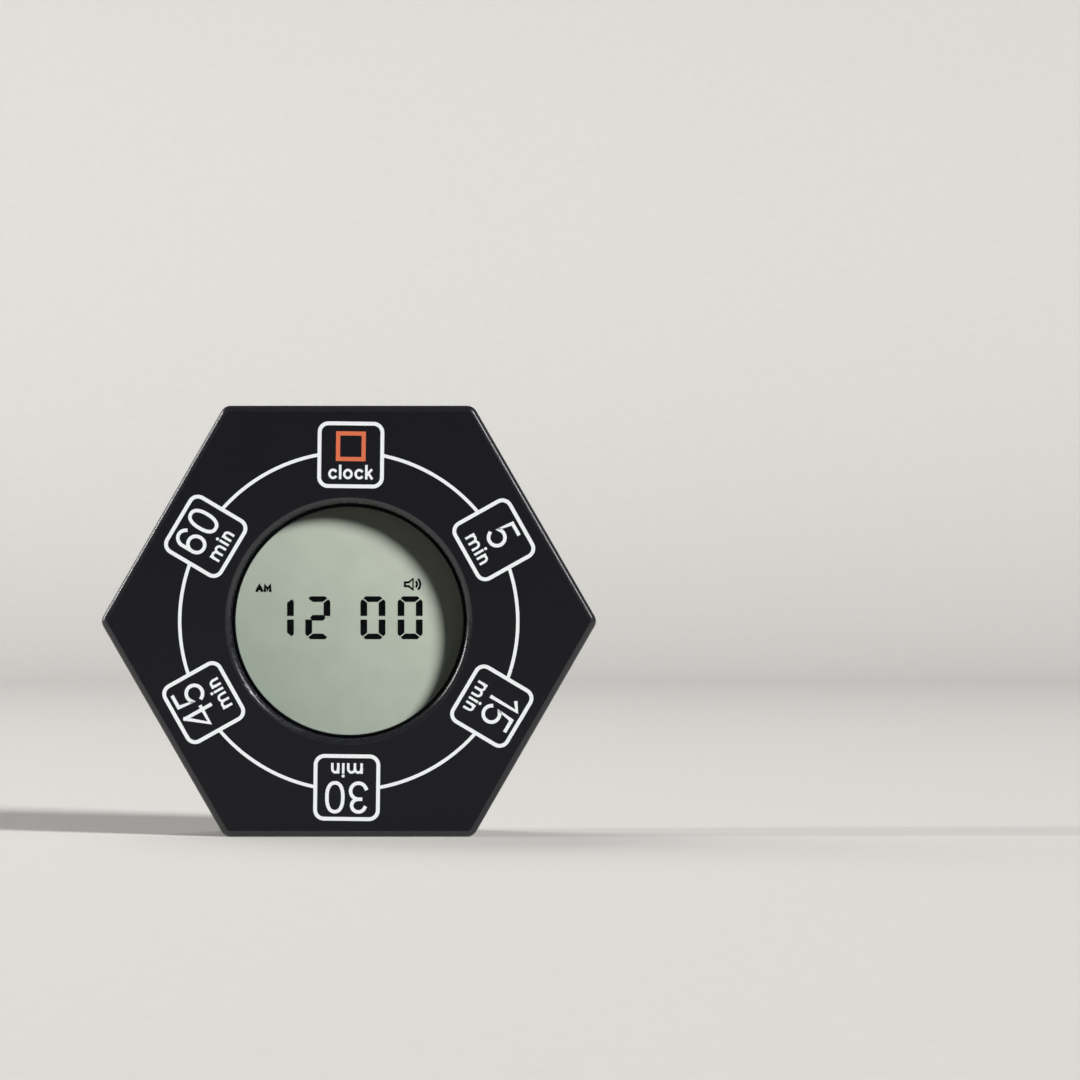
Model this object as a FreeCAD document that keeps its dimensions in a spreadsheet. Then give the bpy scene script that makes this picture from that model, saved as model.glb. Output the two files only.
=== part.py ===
import FreeCAD, Part
import math
import os
import re
import Sketcher
from FreeCAD import Placement, Rotation, Vector

# A hexagonal desk timer that is set by turning it onto one of its six flats.
#
# Every piece is drawn in one frame, as the timer lies on its back on the bench: "across" runs to the
# right, "up" runs towards the flat that is uppermost in use, and "toward" runs from the middle of the
# thickness to the front face. The last step stands the timer up on its lowest flat, with the front
# face towards -Y and the origin at the middle of that flat. All sizes are in millimetres.

SIZES = [
    # The case
    ("across_flats", 80.0),
    ("depth", 28.0),
    ("front_depth", 16.0),
    ("corner_radius", 2.0),
    ("inner_corner", 1.2),
    ("edge_radius", 1.1),
    ("side_wall", 2.0),
    ("face_wall", 2.2),
    ("back_wall", 2.0),
    ("seam_chamfer", 0.25),
    ("lip_height", 1.4),
    ("lip_gap", 0.1),
    # The round window in the face
    ("window_radius", 21.75),
    ("window_round", 1.2),
    ("window_wall", 1.6),
    ("lens_recess", 2.6),
    ("lens_thickness", 1.3),
    ("lens_gap", 0.12),
    ("lens_edge_round", 0.35),
    ("ledge_width", 0.55),
    ("ledge_thickness", 0.8),
    # The liquid crystal display
    ("view_margin", 0.5),
    ("glass_margin", 0.25),
    ("contact_ledge", 2.6),
    ("glass_thickness", 0.7),
    ("polarizer_thickness", 0.2),
    ("reflector_thickness", 0.25),
    ("polarizer_margin", 0.5),
    ("display_gap", 0.2),
    ("zebra_width", 1.6),
    ("zebra_length", 40.0),
    ("holder_wall", 1.6),
    ("holder_floor", 1.95),
    ("holder_gap", 0.1),
    ("holder_opening", 36.0),
    ("peg_radius", 0.8),
    ("peg_gap", 0.06),
    ("peg_across", 12.0),
    # The main board
    ("board_gap", 0.5),
    ("board_thickness", 1.2),
    ("board_post_gap", 0.8),
    ("board_post_up", 8.0),
    ("post_radius", 2.2),
    ("small_screw_radius", 1.0),
    ("small_head_radius", 1.8),
    ("small_head_height", 1.3),
    ("small_screw_reach", 4.0),
    # The screws that hold the two halves of the case together
    ("boss_inset", 7.2),
    ("boss_radius", 3.2),
    ("web_thickness", 1.2),
    ("screw_radius", 1.25),
    ("screw_reach", 6.0),
    ("screw_seat", 2.5),
    ("screw_head_radius", 2.3),
    ("screw_head_height", 1.8),
    ("screw_well_gap", 0.3),
    ("screw_pass_gap", 0.15),
    ("screw_grip_gap", 0.03),
    ("screw_tip_room", 1.0),
    # The battery bay and its door
    ("cell_radius", 5.25),
    ("cell_length", 44.5),
    ("cell_nub_radius", 1.9),
    ("cell_nub_height", 0.9),
    ("cell_gap", 0.8),
    ("cell_side_room", 0.4),
    ("cell_lift", 0.2),
    ("cell_edge_round", 0.5),
    ("bay_middle", -12.0),
    ("bay_wall", 1.2),
    ("door_thickness", 1.6),
    ("door_overlap", 1.5),
    ("door_gap", 0.2),
    ("door_rest_gap", 0.1),
    ("door_corner", 2.0),
    ("door_edge_round", 0.3),
    ("tab_width", 6.0),
    ("tab_reach", 1.5),
    ("tab_thickness", 1.2),
    ("tab_across", 15.0),
    ("tab_room", 0.35),
    ("latch_width", 12.0),
    ("latch_length", 6.5),
    ("latch_slot", 0.8),
    ("latch_groove", 0.6),
    ("latch_groove_depth", 0.3),
    ("scoop_radius", 6.0),
    ("scoop_depth", 0.9),
    ("divider_width", 1.2),
    ("divider_height", 2.4),
    ("divider_length", 30.0),
    # The battery contacts
    ("contact_plate", 0.4),
    ("contact_width", 8.8),
    ("contact_height", 8.6),
    ("spring_length", 4.4),
    ("spring_wire", 0.5),
    ("spring_turns", 3.5),
    ("spring_base_radius", 3.2),
    ("spring_tip_radius", 2.0),
    ("bump_radius", 1.6),
    ("bump_height", 1.3),
    ("contact_tab_width", 2.4),
    ("contact_tab_reach", 1.6),
    ("contact_tab_gap", 0.15),
    # The push buttons and their switches
    ("button_row", 8.5),
    ("button_radius", 3.5),
    ("button_gap", 0.15),
    ("button_sink", 0.3),
    ("button_edge_round", 0.35),
    ("dish_radius", 2.6),
    ("dish_depth", 0.3),
    ("button_flange", 1.0),
    ("flange_thickness", 0.8),
    ("flange_gap", 0.15),
    ("button_travel", 0.4),
    ("button_hole_chamfer", 0.35),
    ("set_across", -20.0),
    ("hour_across", -10.0),
    ("minute_across", 0.0),
    ("plunger_radius", 1.7),
    ("plunger_gap", 0.1),
    ("plunger_out", 0.9),
    ("plunger_hidden", 0.7),
    ("switch_size", 6.0),
    ("switch_height", 3.5),
    ("switch_corner", 0.5),
    # The slide switch for the sound
    ("slide_across", 13.5),
    ("slide_travel", 2.0),
    ("slide_cap_length", 3.2),
    ("slide_cap_width", 2.8),
    ("slide_gap", 0.15),
    ("slide_sink", 0.3),
    ("slide_plate_width", 4.6),
    ("slide_plate_overlap", 0.6),
    ("slide_plate_thickness", 0.8),
    ("slide_stem_length", 2.0),
    ("slide_stem_width", 1.8),
    ("slide_stem_reach", 1.5),
    ("slide_scoop_margin", 1.6),
    ("slide_scoop_depth", 0.7),
    ("slide_scoop_flat", 0.05),
    ("slide_body_length", 8.8),
    ("slide_body_width", 4.4),
    ("slide_body_height", 3.4),
    # The button board
    ("button_board_half", 29.5),
    ("button_board_top", 5.7),
    ("button_board_thickness", 1.2),
    ("button_post_across", 26.8),
    # The sounder
    ("sounder_inset", 1.2),
    ("sounder_button_gap", 0.8),
    ("sounder_thickness", 0.25),
    ("sounder_gap", 0.1),
    ("sounder_ledge", 0.9),
    ("sounder_chamber", 1.2),
    ("sounder_rim", 1.2),
    ("sounder_rim_wall", 1.4),
    ("element_radius", 7.0),
    ("element_thickness", 0.2),
    ("grille_hole_radius", 0.9),
    ("grille_inner_reach", 2.9),
    ("grille_outer_reach", 5.8),
    # The parts on the main board
    ("blob_radius", 6.0),
    ("blob_height", 1.4),
    ("blob_up", 4.0),
    ("tilt_size", 3.0),
    ("tilt_height", 1.0),
    ("tilt_across", -15.0),
    ("tilt_up", -4.0),
    ("crystal_radius", 1.0),
    ("crystal_length", 6.0),
    ("crystal_across", 10.5),
    ("crystal_up", 2.0),
    ("capacitor_radius", 2.0),
    ("capacitor_height", 3.4),
    ("capacitor_across", -16.0),
    ("capacitor_up", 16.0),
    ("capacitor_spacing", 6.0),
    ("coil_radius", 3.0),
    ("coil_core_radius", 2.0),
    ("coil_height", 3.2),
    ("coil_flange", 0.7),
    ("coil_across", 17.0),
    ("coil_up", 17.0),
    ("chip_length", 2.0),
    ("chip_width", 1.2),
    ("chip_height", 0.6),
    ("chip_spacing", 3.2),
    ("chip_row_up", -11.0),
    # The wires
    ("lead_radius", 0.5),
    ("lead_gap", 0.2),
    ("ribbon_width", 8.0),
    ("ribbon_thickness", 0.6),
    ("ribbon_across", -22.0),
    ("ribbon_foot", 2.0),
    ("ribbon_start", 2.0),
    ("ribbon_finish", -4.0),
]

NAMES = {name for name, _ in SIZES}

doc = FreeCAD.newDocument("HexagonalTimer")
sheet = doc.addObject("Spreadsheet::Sheet", "Sizes")
for row, (name, size) in enumerate(SIZES, start=1):
    sheet.set(f"A{row}", name)
    sheet.set(f"B{row}", str(size))
    sheet.setAlias(f"B{row}", name)
doc.recompute()

SUB_PARTS = []

# How near two levels or radii must be to count as the same one
SAME = 1e-4
# How much of a straight run of a wire each of its bends may take up
BEND_SHARE = 0.45
# Points measured on each arc of a spring's wire
ARC_POINTS = 8


# Formulas

def sized(formula):
    """Write the sheet's name before each size that a formula names."""
    return re.sub(r"[a-z_]+", lambda word: f"Sizes.{word[0]}" if word[0] in NAMES else word[0], formula)


def value(formula):
    """The number that a formula gives with the sheet's sizes."""
    return float(sheet.evalExpression(sized(formula)))


def bind(thing, prop, formula):
    """Tie one property of an object to a formula of the sheet's sizes."""
    thing.setExpression(prop, sized(formula))


# Drawing in sketches

START, END, CENTRE = range(1, 4)
ORIGIN = -START
PLANES = {"across": "YZ_Plane", "up": "XZ_Plane", "toward": "XY_Plane"}


def hold(sketch, kind, where, formula):
    """Add one constraint whose size is a formula."""
    index = sketch.addConstraint(Sketcher.Constraint(kind, *where, value(formula)))
    bind(sketch, f"Constraints[{index}]", formula)


def hold_point(sketch, edge, point, place):
    """Fix a point of an edge at its place from the sketch's origin."""
    hold(sketch, "DistanceX", (ORIGIN, START, edge, point), place[0])
    hold(sketch, "DistanceY", (ORIGIN, START, edge, point), place[1])


def spot(place):
    """The point of a place, for the first drawing of a sketch."""
    return Vector(value(place[0]), value(place[1]), 0)


def circle(place, radius):
    """A round loop."""
    def draw(sketch):
        edge = sketch.addGeometry(Part.Circle(spot(place), Vector(0, 0, 1), value(radius)), False)
        hold_point(sketch, edge, CENTRE, place)
        hold(sketch, "Radius", (edge,), radius)
    return draw


def polygon(*places):
    """A loop of straight sides through the places given."""
    def draw(sketch):
        spots = [spot(place) for place in places]
        sides = []
        for first, second in zip(spots, spots[1:] + spots[:1]):
            sides.append(sketch.addGeometry(Part.LineSegment(first, second), False))
        for side, following in zip(sides, sides[1:] + sides[:1]):
            sketch.addConstraint(Sketcher.Constraint("Coincident", side, END, following, START))
        for side, place in zip(sides, places):
            hold_point(sketch, side, START, place)
    return draw


def rounded(radius, *centres):
    """A convex loop, anticlockwise, whose corners are arcs of one radius about the centres given."""
    def draw(sketch):
        spots = [spot(centre) for centre in centres]
        size = value(radius)
        arcs = []
        for before, here, after in zip(spots[-1:] + spots[:-1], spots, spots[1:] + spots[:1]):
            come = here - before
            leave = after - here
            first = math.atan2(come.y, come.x) - math.pi / 2
            last = math.atan2(leave.y, leave.x) - math.pi / 2
            arc = Part.ArcOfCircle(Part.Circle(here, Vector(0, 0, 1), size), first, last)
            arcs.append(sketch.addGeometry(arc, False))
        lines = []
        for arc, following in zip(arcs, arcs[1:] + arcs[:1]):
            ends = Part.LineSegment(sketch.getPoint(arc, END), sketch.getPoint(following, START))
            lines.append(sketch.addGeometry(ends, False))
        hold(sketch, "Radius", (arcs[0],), radius)
        for arc, line, following in zip(arcs, lines, arcs[1:] + arcs[:1]):
            sketch.addConstraint(Sketcher.Constraint("Tangent", arc, END, line, START))
            sketch.addConstraint(Sketcher.Constraint("Tangent", line, END, following, START))
        for arc in arcs[1:]:
            sketch.addConstraint(Sketcher.Constraint("Equal", arcs[0], arc))
        for arc, centre in zip(arcs, centres):
            hold_point(sketch, arc, CENTRE, centre)
    return draw


def hexagon(flats, corner):
    """The case's outline, flats up and down, with rounded corners."""
    reach = f"(({flats}) - 2 * ({corner})) / sqrt(3)"
    corners = ((1, 0), (0.5, 1), (-0.5, 1), (-1, 0), (-0.5, -1), (0.5, -1))
    return rounded(corner, *[
        (f"{reach} * {across}", f"{reach} * {up} * sqrt(3) / 2") for across, up in corners
    ])


def around(middle, half):
    """Two limits, as far to each side of a middle."""
    return f"({middle}) - ({half})", f"({middle}) + ({half})"


def box(left, right, low, high):
    """A loop with four square corners."""
    return polygon((left, low), (right, low), (right, high), (left, high))


def soft_box(left, right, low, high, corner):
    """A loop with four rounded corners."""
    inner_left = f"({left}) + ({corner})"
    inner_right = f"({right}) - ({corner})"
    inner_low = f"({low}) + ({corner})"
    inner_high = f"({high}) - ({corner})"
    return rounded(corner, (inner_left, inner_low), (inner_right, inner_low),
                   (inner_right, inner_high), (inner_left, inner_high))


# Building bodies

def stand_up(piece):
    """Stand a finished piece up with the timer, and keep it as a sub-part."""
    piece.Placement = Placement(Vector(0, 0, value("across_flats / 2")), Rotation(Vector(1, 0, 0), 90))
    bind(piece, "Placement.Base.z", "across_flats / 2")
    SUB_PARTS.append(piece)


def new_body(name):
    """An empty body with its name as its label."""
    body = doc.addObject("PartDesign::Body", name)
    body.Label = name
    return body


def sketch_at(body, name, along, level, loops):
    """Draw loops on a plane square to one direction, at a level along it."""
    sketch = body.newObject("Sketcher::SketchObject", f"{body.Name}_{name}_sketch")
    plane = next(each for each in body.Origin.OriginFeatures if each.Role == PLANES[along])
    sketch.AttachmentSupport = [(plane, "")]
    sketch.MapMode = "FlatFace"
    bind(sketch, "AttachmentOffset.Base.z", f"-({level})" if along == "up" else level)
    for loop in loops:
        loop(sketch)
    doc.recompute()
    return sketch


def volume(body):
    """How much a body holds so far, in cubic millimetres."""
    return body.Tip.Shape.Volume if body.Tip else 0


def add(body, name, low, high, *loops, along="toward"):
    """Add the loops' solid between two levels."""
    before = volume(body)
    base = high if along == "up" else low
    feature_sketch = sketch_at(body, name, along, base, loops)
    pad = body.newObject("PartDesign::Pad", f"{body.Name}_{name}")
    pad.Profile = feature_sketch
    bind(pad, "Length", f"({high}) - ({low})")
    doc.recompute()
    if volume(body) <= before:
        raise ValueError(f"{pad.Name} adds nothing")
    return pad


def cut(body, name, low, high, *loops, along="toward"):
    """Cut the loops' solid away between two levels."""
    before = volume(body)
    base = low if along == "up" else high
    feature_sketch = sketch_at(body, name, along, base, loops)
    pocket = body.newObject("PartDesign::Pocket", f"{body.Name}_{name}")
    pocket.Profile = feature_sketch
    bind(pocket, "Length", f"({high}) - ({low})")
    doc.recompute()
    if volume(body) >= before:
        raise ValueError(f"{pocket.Name} cuts nothing")
    return pocket


def break_edges(body, name, kind, size, wanted):
    """Round or chamfer the edges of the body so far that a test picks."""
    base = body.Tip
    edges = [f"Edge{n}" for n, edge in enumerate(base.Shape.Edges, start=1) if wanted(edge)]
    if not edges:
        raise ValueError(f"{body.Name}_{name} finds no edge")
    feature = body.newObject(f"PartDesign::{kind}", f"{body.Name}_{name}")
    feature.Base = (base, edges)
    bind(feature, "Radius" if kind == "Fillet" else "Size", size)
    doc.recompute()
    return feature


def at_level(level, radius=None):
    """A test for edges that lie at one level, and are round with one radius where it is given."""
    height = value(level)
    size = value(radius) if radius else None

    def test(edge):
        flat = abs(edge.BoundBox.ZMin - height) < SAME and abs(edge.BoundBox.ZMax - height) < SAME
        if not flat or size is None:
            return flat
        return isinstance(edge.Curve, Part.Circle) and abs(edge.Curve.Radius - size) < SAME
    return test


# Levels through the thickness, and places that several pieces share

FACE = "depth / 2"
BACK = "-depth / 2"
SEAM = f"({FACE} - front_depth)"
FACE_INSIDE = f"({FACE} - face_wall)"
BACK_INSIDE = f"({BACK} + back_wall)"

LENS_FRONT = f"({FACE} - lens_recess)"
LENS_BACK = f"({LENS_FRONT} - lens_thickness)"
LEDGE_BACK = f"({LENS_BACK} - ledge_thickness)"
DISPLAY_FRONT = f"({LEDGE_BACK} - display_gap)"
GLASS_FRONT = f"({DISPLAY_FRONT} - polarizer_thickness)"
GLASS_MIDDLE = f"({GLASS_FRONT} - glass_thickness)"
GLASS_BACK = f"({GLASS_MIDDLE} - glass_thickness)"
DISPLAY_BACK = f"({GLASS_BACK} - reflector_thickness)"
BOARD_FRONT = f"({DISPLAY_BACK} - holder_floor)"
BOARD_BACK = f"({BOARD_FRONT} - board_thickness)"

DOOR_INSIDE = f"({BACK} + door_thickness)"
DOOR_LEDGE = f"({DOOR_INSIDE} + door_rest_gap)"
CELL_MIDDLE = f"({DOOR_INSIDE} + cell_lift + cell_radius)"
BAY_FLOOR = f"({CELL_MIDDLE} + cell_radius + cell_lift)"
BAY_ROOF = f"({BAY_FLOOR} + bay_wall)"
BAY_HALF_UP = "(2 * cell_radius + cell_gap / 2 + cell_side_room)"
BAY_HALF_ACROSS = "((2 * contact_plate + spring_length + cell_length + bump_height) / 2)"
BAY_LOW = f"(bay_middle - {BAY_HALF_UP})"
BAY_HIGH = f"(bay_middle + {BAY_HALF_UP})"
DOOR_HALF_ACROSS = f"({BAY_HALF_ACROSS} + door_overlap)"
DOOR_LOW = f"({BAY_LOW} - door_overlap)"
DOOR_HIGH = f"({BAY_HIGH} + door_overlap)"
UPPER_CELL = "(bay_middle + cell_radius + cell_gap / 2)"
LOWER_CELL = "(bay_middle - cell_radius - cell_gap / 2)"

BUTTON_OUTSIDE = f"({BACK} + button_sink)"
FLANGE_OUTSIDE = f"({BACK_INSIDE} + flange_gap)"
FLANGE_INSIDE = f"({FLANGE_OUTSIDE} + flange_thickness)"
SWITCH_OUTSIDE = f"({FLANGE_INSIDE} + plunger_out)"
BUTTON_BOARD_BACK = f"({SWITCH_OUTSIDE} + switch_height)"
BUTTON_BOARD_FRONT = f"({BUTTON_BOARD_BACK} + button_board_thickness)"

VIEW_HALF = "(window_radius + view_margin)"
GLASS_HALF = f"({VIEW_HALF} + glass_margin)"
HOLDER_HALF_ACROSS = f"({GLASS_HALF} + holder_gap + holder_wall)"
HOLDER_HALF_UP = f"({VIEW_HALF} + contact_ledge + holder_gap + holder_wall)"
PEG_UP = f"({HOLDER_HALF_UP} - holder_wall / 2)"
BOARD_POST_ACROSS = f"({HOLDER_HALF_ACROSS} + board_post_gap + post_radius)"

LIP_CORNER = "((corner_radius + inner_corner) / 2)"
BOSS_REACH = "(across_flats / sqrt(3) - boss_inset)"
BOARD_RADIUS = f"({BOSS_REACH} - boss_radius - board_gap)"
SOUNDER_LOW = "(button_row + button_radius + button_flange + sounder_button_gap)"
SOUNDER_RING = f"((across_flats / 2 - side_wall - sounder_inset - {SOUNDER_LOW}) / 2)"
SOUNDER_RADIUS = f"({SOUNDER_RING} - sounder_gap - sounder_rim_wall)"
SOUNDER_UP = f"(across_flats / 2 - side_wall - sounder_inset - {SOUNDER_RING})"
CORNERS = ((1, 1), (-1, 1), (-1, -1), (1, -1))


def boss_place(side, end):
    """The middle of a screw boss, on the line from the centre of the case to one of its corners."""
    return f"{side} * {BOSS_REACH} / 2", f"{end} * {BOSS_REACH} * sqrt(3) / 2"


def four(across, up):
    """The four places that mirror each other about the case's two middle lines."""
    return [(f"{side} * {across}", f"{end} * {up}") for side, end in CORNERS]


def corner_web(side, end):
    """The outline of a web from a screw boss to the middle of the case's wall at its corner."""
    outer = "((across_flats - 2 * corner_radius) / sqrt(3) + corner_radius - side_wall / 2)"
    half = "web_thickness / 2"
    loop = []
    for reach, turn in ((BOSS_REACH, 1), (outer, 1), (outer, -1), (BOSS_REACH, -1)):
        across = f"{side} * ({reach} / 2 + {turn} * {half} * sqrt(3) / 2)"
        up = f"{end} * ({reach} * sqrt(3) / 2 - {turn} * {half} / 2)"
        loop.append((across, up))
    return polygon(*loop)


# The case

def front_shell():
    """The front half of the case, with the window well, the screw bosses and the board's posts."""
    body = new_body("front_shell")
    add(body, "outline", SEAM, FACE, hexagon("across_flats", "corner_radius"))
    break_edges(body, "face_edge", "Fillet", "edge_radius", at_level(FACE))
    break_edges(body, "seam_edge", "Chamfer", "seam_chamfer", at_level(SEAM))
    cut(body, "cavity", SEAM, FACE_INSIDE,
        hexagon("across_flats - 2 * side_wall", "inner_corner"))
    cut(body, "lip_rebate", SEAM, f"{SEAM} + lip_height + lip_gap",
        hexagon("across_flats - side_wall", LIP_CORNER))
    add(body, "window_well", LEDGE_BACK, FACE_INSIDE, circle(("0", "0"), "window_radius + window_wall"))
    cut(body, "window", LENS_BACK, FACE, circle(("0", "0"), "window_radius"))
    cut(body, "sight", LEDGE_BACK, LENS_BACK, circle(("0", "0"), "window_radius - ledge_width"))
    break_edges(body, "window_edge", "Fillet", "window_round", at_level(FACE, "window_radius"))
    bosses = [boss_place(*corner) for corner in CORNERS]
    add(body, "bosses", SEAM, FACE_INSIDE, *[circle(place, "boss_radius") for place in bosses])
    add(body, "webs", f"{SEAM} + lip_height + 2 * lip_gap", FACE_INSIDE,
        *[corner_web(*corner) for corner in CORNERS])
    cut(body, "pilots", SEAM, f"{SEAM} + screw_reach + screw_tip_room",
        *[circle(place, "screw_radius + screw_grip_gap") for place in bosses])
    posts = four(BOARD_POST_ACROSS, "board_post_up")
    add(body, "posts", BOARD_FRONT, FACE_INSIDE, *[circle(place, "post_radius") for place in posts])
    cut(body, "post_pilots", BOARD_FRONT, f"{BOARD_FRONT} + small_screw_reach + screw_tip_room",
        *[circle(place, "small_screw_radius + screw_grip_gap") for place in posts])
    return body


def rear_shell():
    """The rear half of the case: battery bay, screw wells, and the openings for the controls."""
    body = new_body("rear_shell")
    add(body, "outline", BACK, SEAM, hexagon("across_flats", "corner_radius"))
    break_edges(body, "back_edge", "Fillet", "edge_radius", at_level(BACK))
    break_edges(body, "seam_edge", "Chamfer", "seam_chamfer", at_level(SEAM))
    cut(body, "cavity", BACK_INSIDE, SEAM,
        hexagon("across_flats - 2 * side_wall", "inner_corner"))
    add(body, "lip", SEAM, f"{SEAM} + lip_height",
        hexagon("across_flats - side_wall - 2 * lip_gap", f"{LIP_CORNER} - lip_gap"),
        hexagon("across_flats - 2 * side_wall", "inner_corner"))
    screw_wells(body)
    battery_bay(body)
    control_openings(body)
    sounder_seat(body)
    return body


def screw_wells(body):
    """Four bosses that meet those of the front half, each with a deep well for a screw's head."""
    bosses = [boss_place(*corner) for corner in CORNERS]
    add(body, "bosses", BACK_INSIDE, SEAM, *[circle(place, "boss_radius") for place in bosses])
    add(body, "webs", BACK_INSIDE, f"{SEAM} - lip_height", *[corner_web(*corner) for corner in CORNERS])
    cut(body, "screw_wells", BACK, f"{SEAM} - screw_seat",
        *[circle(place, "screw_head_radius + screw_well_gap") for place in bosses])
    cut(body, "screw_holes", f"{SEAM} - screw_seat", SEAM,
        *[circle(place, "screw_radius + screw_pass_gap") for place in bosses])


def battery_bay(body):
    """The bay for two cells, with the door's seat, its hinge slots and the contacts' slots."""
    rim = "door_gap + bay_wall"
    add(body, "door_frame", BACK_INSIDE, f"{DOOR_LEDGE} + bay_wall",
        soft_box(f"-{DOOR_HALF_ACROSS} - {rim}", f"{DOOR_HALF_ACROSS} + {rim}",
                 f"{DOOR_LOW} - {rim}", f"{DOOR_HIGH} + {rim}", "door_corner + door_gap + bay_wall"))
    add(body, "bay_walls", BACK_INSIDE, BAY_ROOF,
        box(f"-{BAY_HALF_ACROSS} - bay_wall", f"{BAY_HALF_ACROSS} + bay_wall",
            f"{BAY_LOW} - bay_wall", f"{BAY_HIGH} + bay_wall"))
    cut(body, "door_seat", BACK, DOOR_LEDGE,
        soft_box(f"-{DOOR_HALF_ACROSS} - door_gap", f"{DOOR_HALF_ACROSS} + door_gap",
                 f"{DOOR_LOW} - door_gap", f"{DOOR_HIGH} + door_gap", "door_corner + door_gap"))
    cut(body, "bay", DOOR_LEDGE, BAY_FLOOR,
        box(f"-{BAY_HALF_ACROSS}", BAY_HALF_ACROSS, BAY_LOW, BAY_HIGH))
    add(body, "cell_divider", f"{BAY_FLOOR} - divider_height", BAY_FLOOR,
        box("-divider_length / 2", "divider_length / 2",
            "bay_middle - divider_width / 2", "bay_middle + divider_width / 2"))
    slots = []
    for side in (-1, 1):
        middle = f"{side} * tab_across"
        half = "(tab_width / 2 + tab_room)"
        slots.append(box(f"{middle} - {half}", f"{middle} + {half}",
                         f"{BAY_HIGH} - tab_room", f"{DOOR_HIGH} + tab_reach + tab_room"))
    cut(body, "hinge_slots", f"{DOOR_INSIDE} - door_gap", f"{DOOR_INSIDE} + tab_thickness + 2 * tab_room",
        *slots)
    tabs = []
    for middle in (UPPER_CELL, LOWER_CELL):
        half = "(contact_tab_width / 2 + contact_tab_gap)"
        tabs.append(box(f"{BAY_HALF_ACROSS} - contact_plate - contact_tab_gap", BAY_HALF_ACROSS,
                        f"{middle} - {half}", f"{middle} + {half}"))
    cut(body, "contact_slots", BAY_FLOOR, BAY_ROOF, *tabs)
    cut(body, "latch_scoop", BACK, f"{BACK} + scoop_depth",
        circle(("0", f"{DOOR_LOW} - door_gap"), "scoop_radius"))


def control_openings(body):
    """The holes for three buttons, the slot for the sound switch, and the button board's posts."""
    buttons = [(across, "button_row") for across in ("set_across", "hour_across", "minute_across")]
    cut(body, "button_holes", BACK, BACK_INSIDE,
        *[circle(place, "button_radius + button_gap") for place in buttons])
    break_edges(body, "button_hole_edges", "Chamfer", "button_hole_chamfer",
                at_level(BACK, "button_radius + button_gap"))
    half_long = "(slide_cap_length / 2 + slide_travel + slide_gap)"
    half_wide = "(slide_cap_width / 2 + slide_gap)"
    margin = "slide_scoop_margin"
    cut(body, "slide_scoop", BACK, f"{BACK} + slide_scoop_depth",
        soft_box(f"slide_across - {half_long} - {margin}", f"slide_across + {half_long} + {margin}",
                 f"button_row - {half_wide} - {margin}", f"button_row + {half_wide} + {margin}",
                 f"{half_wide} + {margin} - slide_scoop_flat"))
    cut(body, "slide_slot", f"{BACK} + slide_scoop_depth", BACK_INSIDE,
        box(f"slide_across - {half_long}", f"slide_across + {half_long}",
            f"button_row - {half_wide}", f"button_row + {half_wide}"))
    posts = [(f"{side} * button_post_across", "button_row") for side in (-1, 1)]
    add(body, "board_posts", BACK_INSIDE, BUTTON_BOARD_BACK,
        *[circle(place, "post_radius") for place in posts])
    cut(body, "post_pilots", f"{BUTTON_BOARD_BACK} - small_screw_reach - screw_tip_room", BUTTON_BOARD_BACK,
        *[circle(place, "small_screw_radius + screw_grip_gap") for place in posts])


def sounder_seat(body):
    """The ring that carries the sounder's disc over a small chamber, and the grille behind it."""
    middle = ("0", SOUNDER_UP)
    seat = f"{BACK_INSIDE} + sounder_chamber"
    rim = f"{seat} + sounder_rim"
    add(body, "sounder_ring", BACK_INSIDE, rim,
        circle(middle, SOUNDER_RING),
        circle(middle, f"{SOUNDER_RADIUS} - sounder_ledge"))
    cut(body, "sounder_bore", seat, rim, circle(middle, f"{SOUNDER_RADIUS} + sounder_gap"))
    holes = [middle]
    for reach, count in (("grille_inner_reach", 6), ("grille_outer_reach", 12)):
        for step in range(count):
            angle = 2 * math.pi * step / count
            holes.append((f"{math.cos(angle):.6f} * {reach}",
                          f"{SOUNDER_UP} + {math.sin(angle):.6f} * {reach}"))
    cut(body, "grille", BACK, BACK_INSIDE, *[circle(place, "grille_hole_radius") for place in holes])


def case_screws():
    """Four screws in the wells of the rear shell."""
    body = new_body("case_screws")
    bosses = [boss_place(*corner) for corner in CORNERS]
    head = f"{SEAM} - screw_seat"
    add(body, "heads", f"{head} - screw_head_height", head,
        *[circle(place, "screw_head_radius") for place in bosses])
    add(body, "shanks", head, f"{SEAM} + screw_reach", *[circle(place, "screw_radius") for place in bosses])
    return body


# The window and the display

def window_lens():
    """The clear round window, dropped into the well from the front."""
    body = new_body("window_lens")
    add(body, "disc", LENS_BACK, LENS_FRONT, circle(("0", "0"), "window_radius - lens_gap"))
    break_edges(body, "edge", "Fillet", "lens_edge_round", at_level(LENS_FRONT))
    return body


def pane(name, low, high, margin, ledges):
    """One layer of the display; the front glass alone reaches over the contact ledges."""
    body = new_body(name)
    half_up = f"({VIEW_HALF} + {ledges} * contact_ledge - {margin})"
    half_across = f"({GLASS_HALF} - {margin})"
    add(body, "sheet", low, high, box(f"-{half_across}", half_across, f"-{half_up}", half_up))
    return body


def zebra_place(side):
    """How far up the middle of a conducting strip lies."""
    return f"{side} * ({VIEW_HALF} + contact_ledge / 2 + zebra_width / 8)"


def zebra_strip(name, side):
    """A strip of conducting rubber between the board and one contact ledge of the front glass."""
    body = new_body(name)
    middle = zebra_place(side)
    add(body, "strip", BOARD_FRONT, GLASS_MIDDLE,
        box("-zebra_length / 2", "zebra_length / 2",
            f"{middle} - zebra_width / 2", f"{middle} + zebra_width / 2"))
    return body


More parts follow.
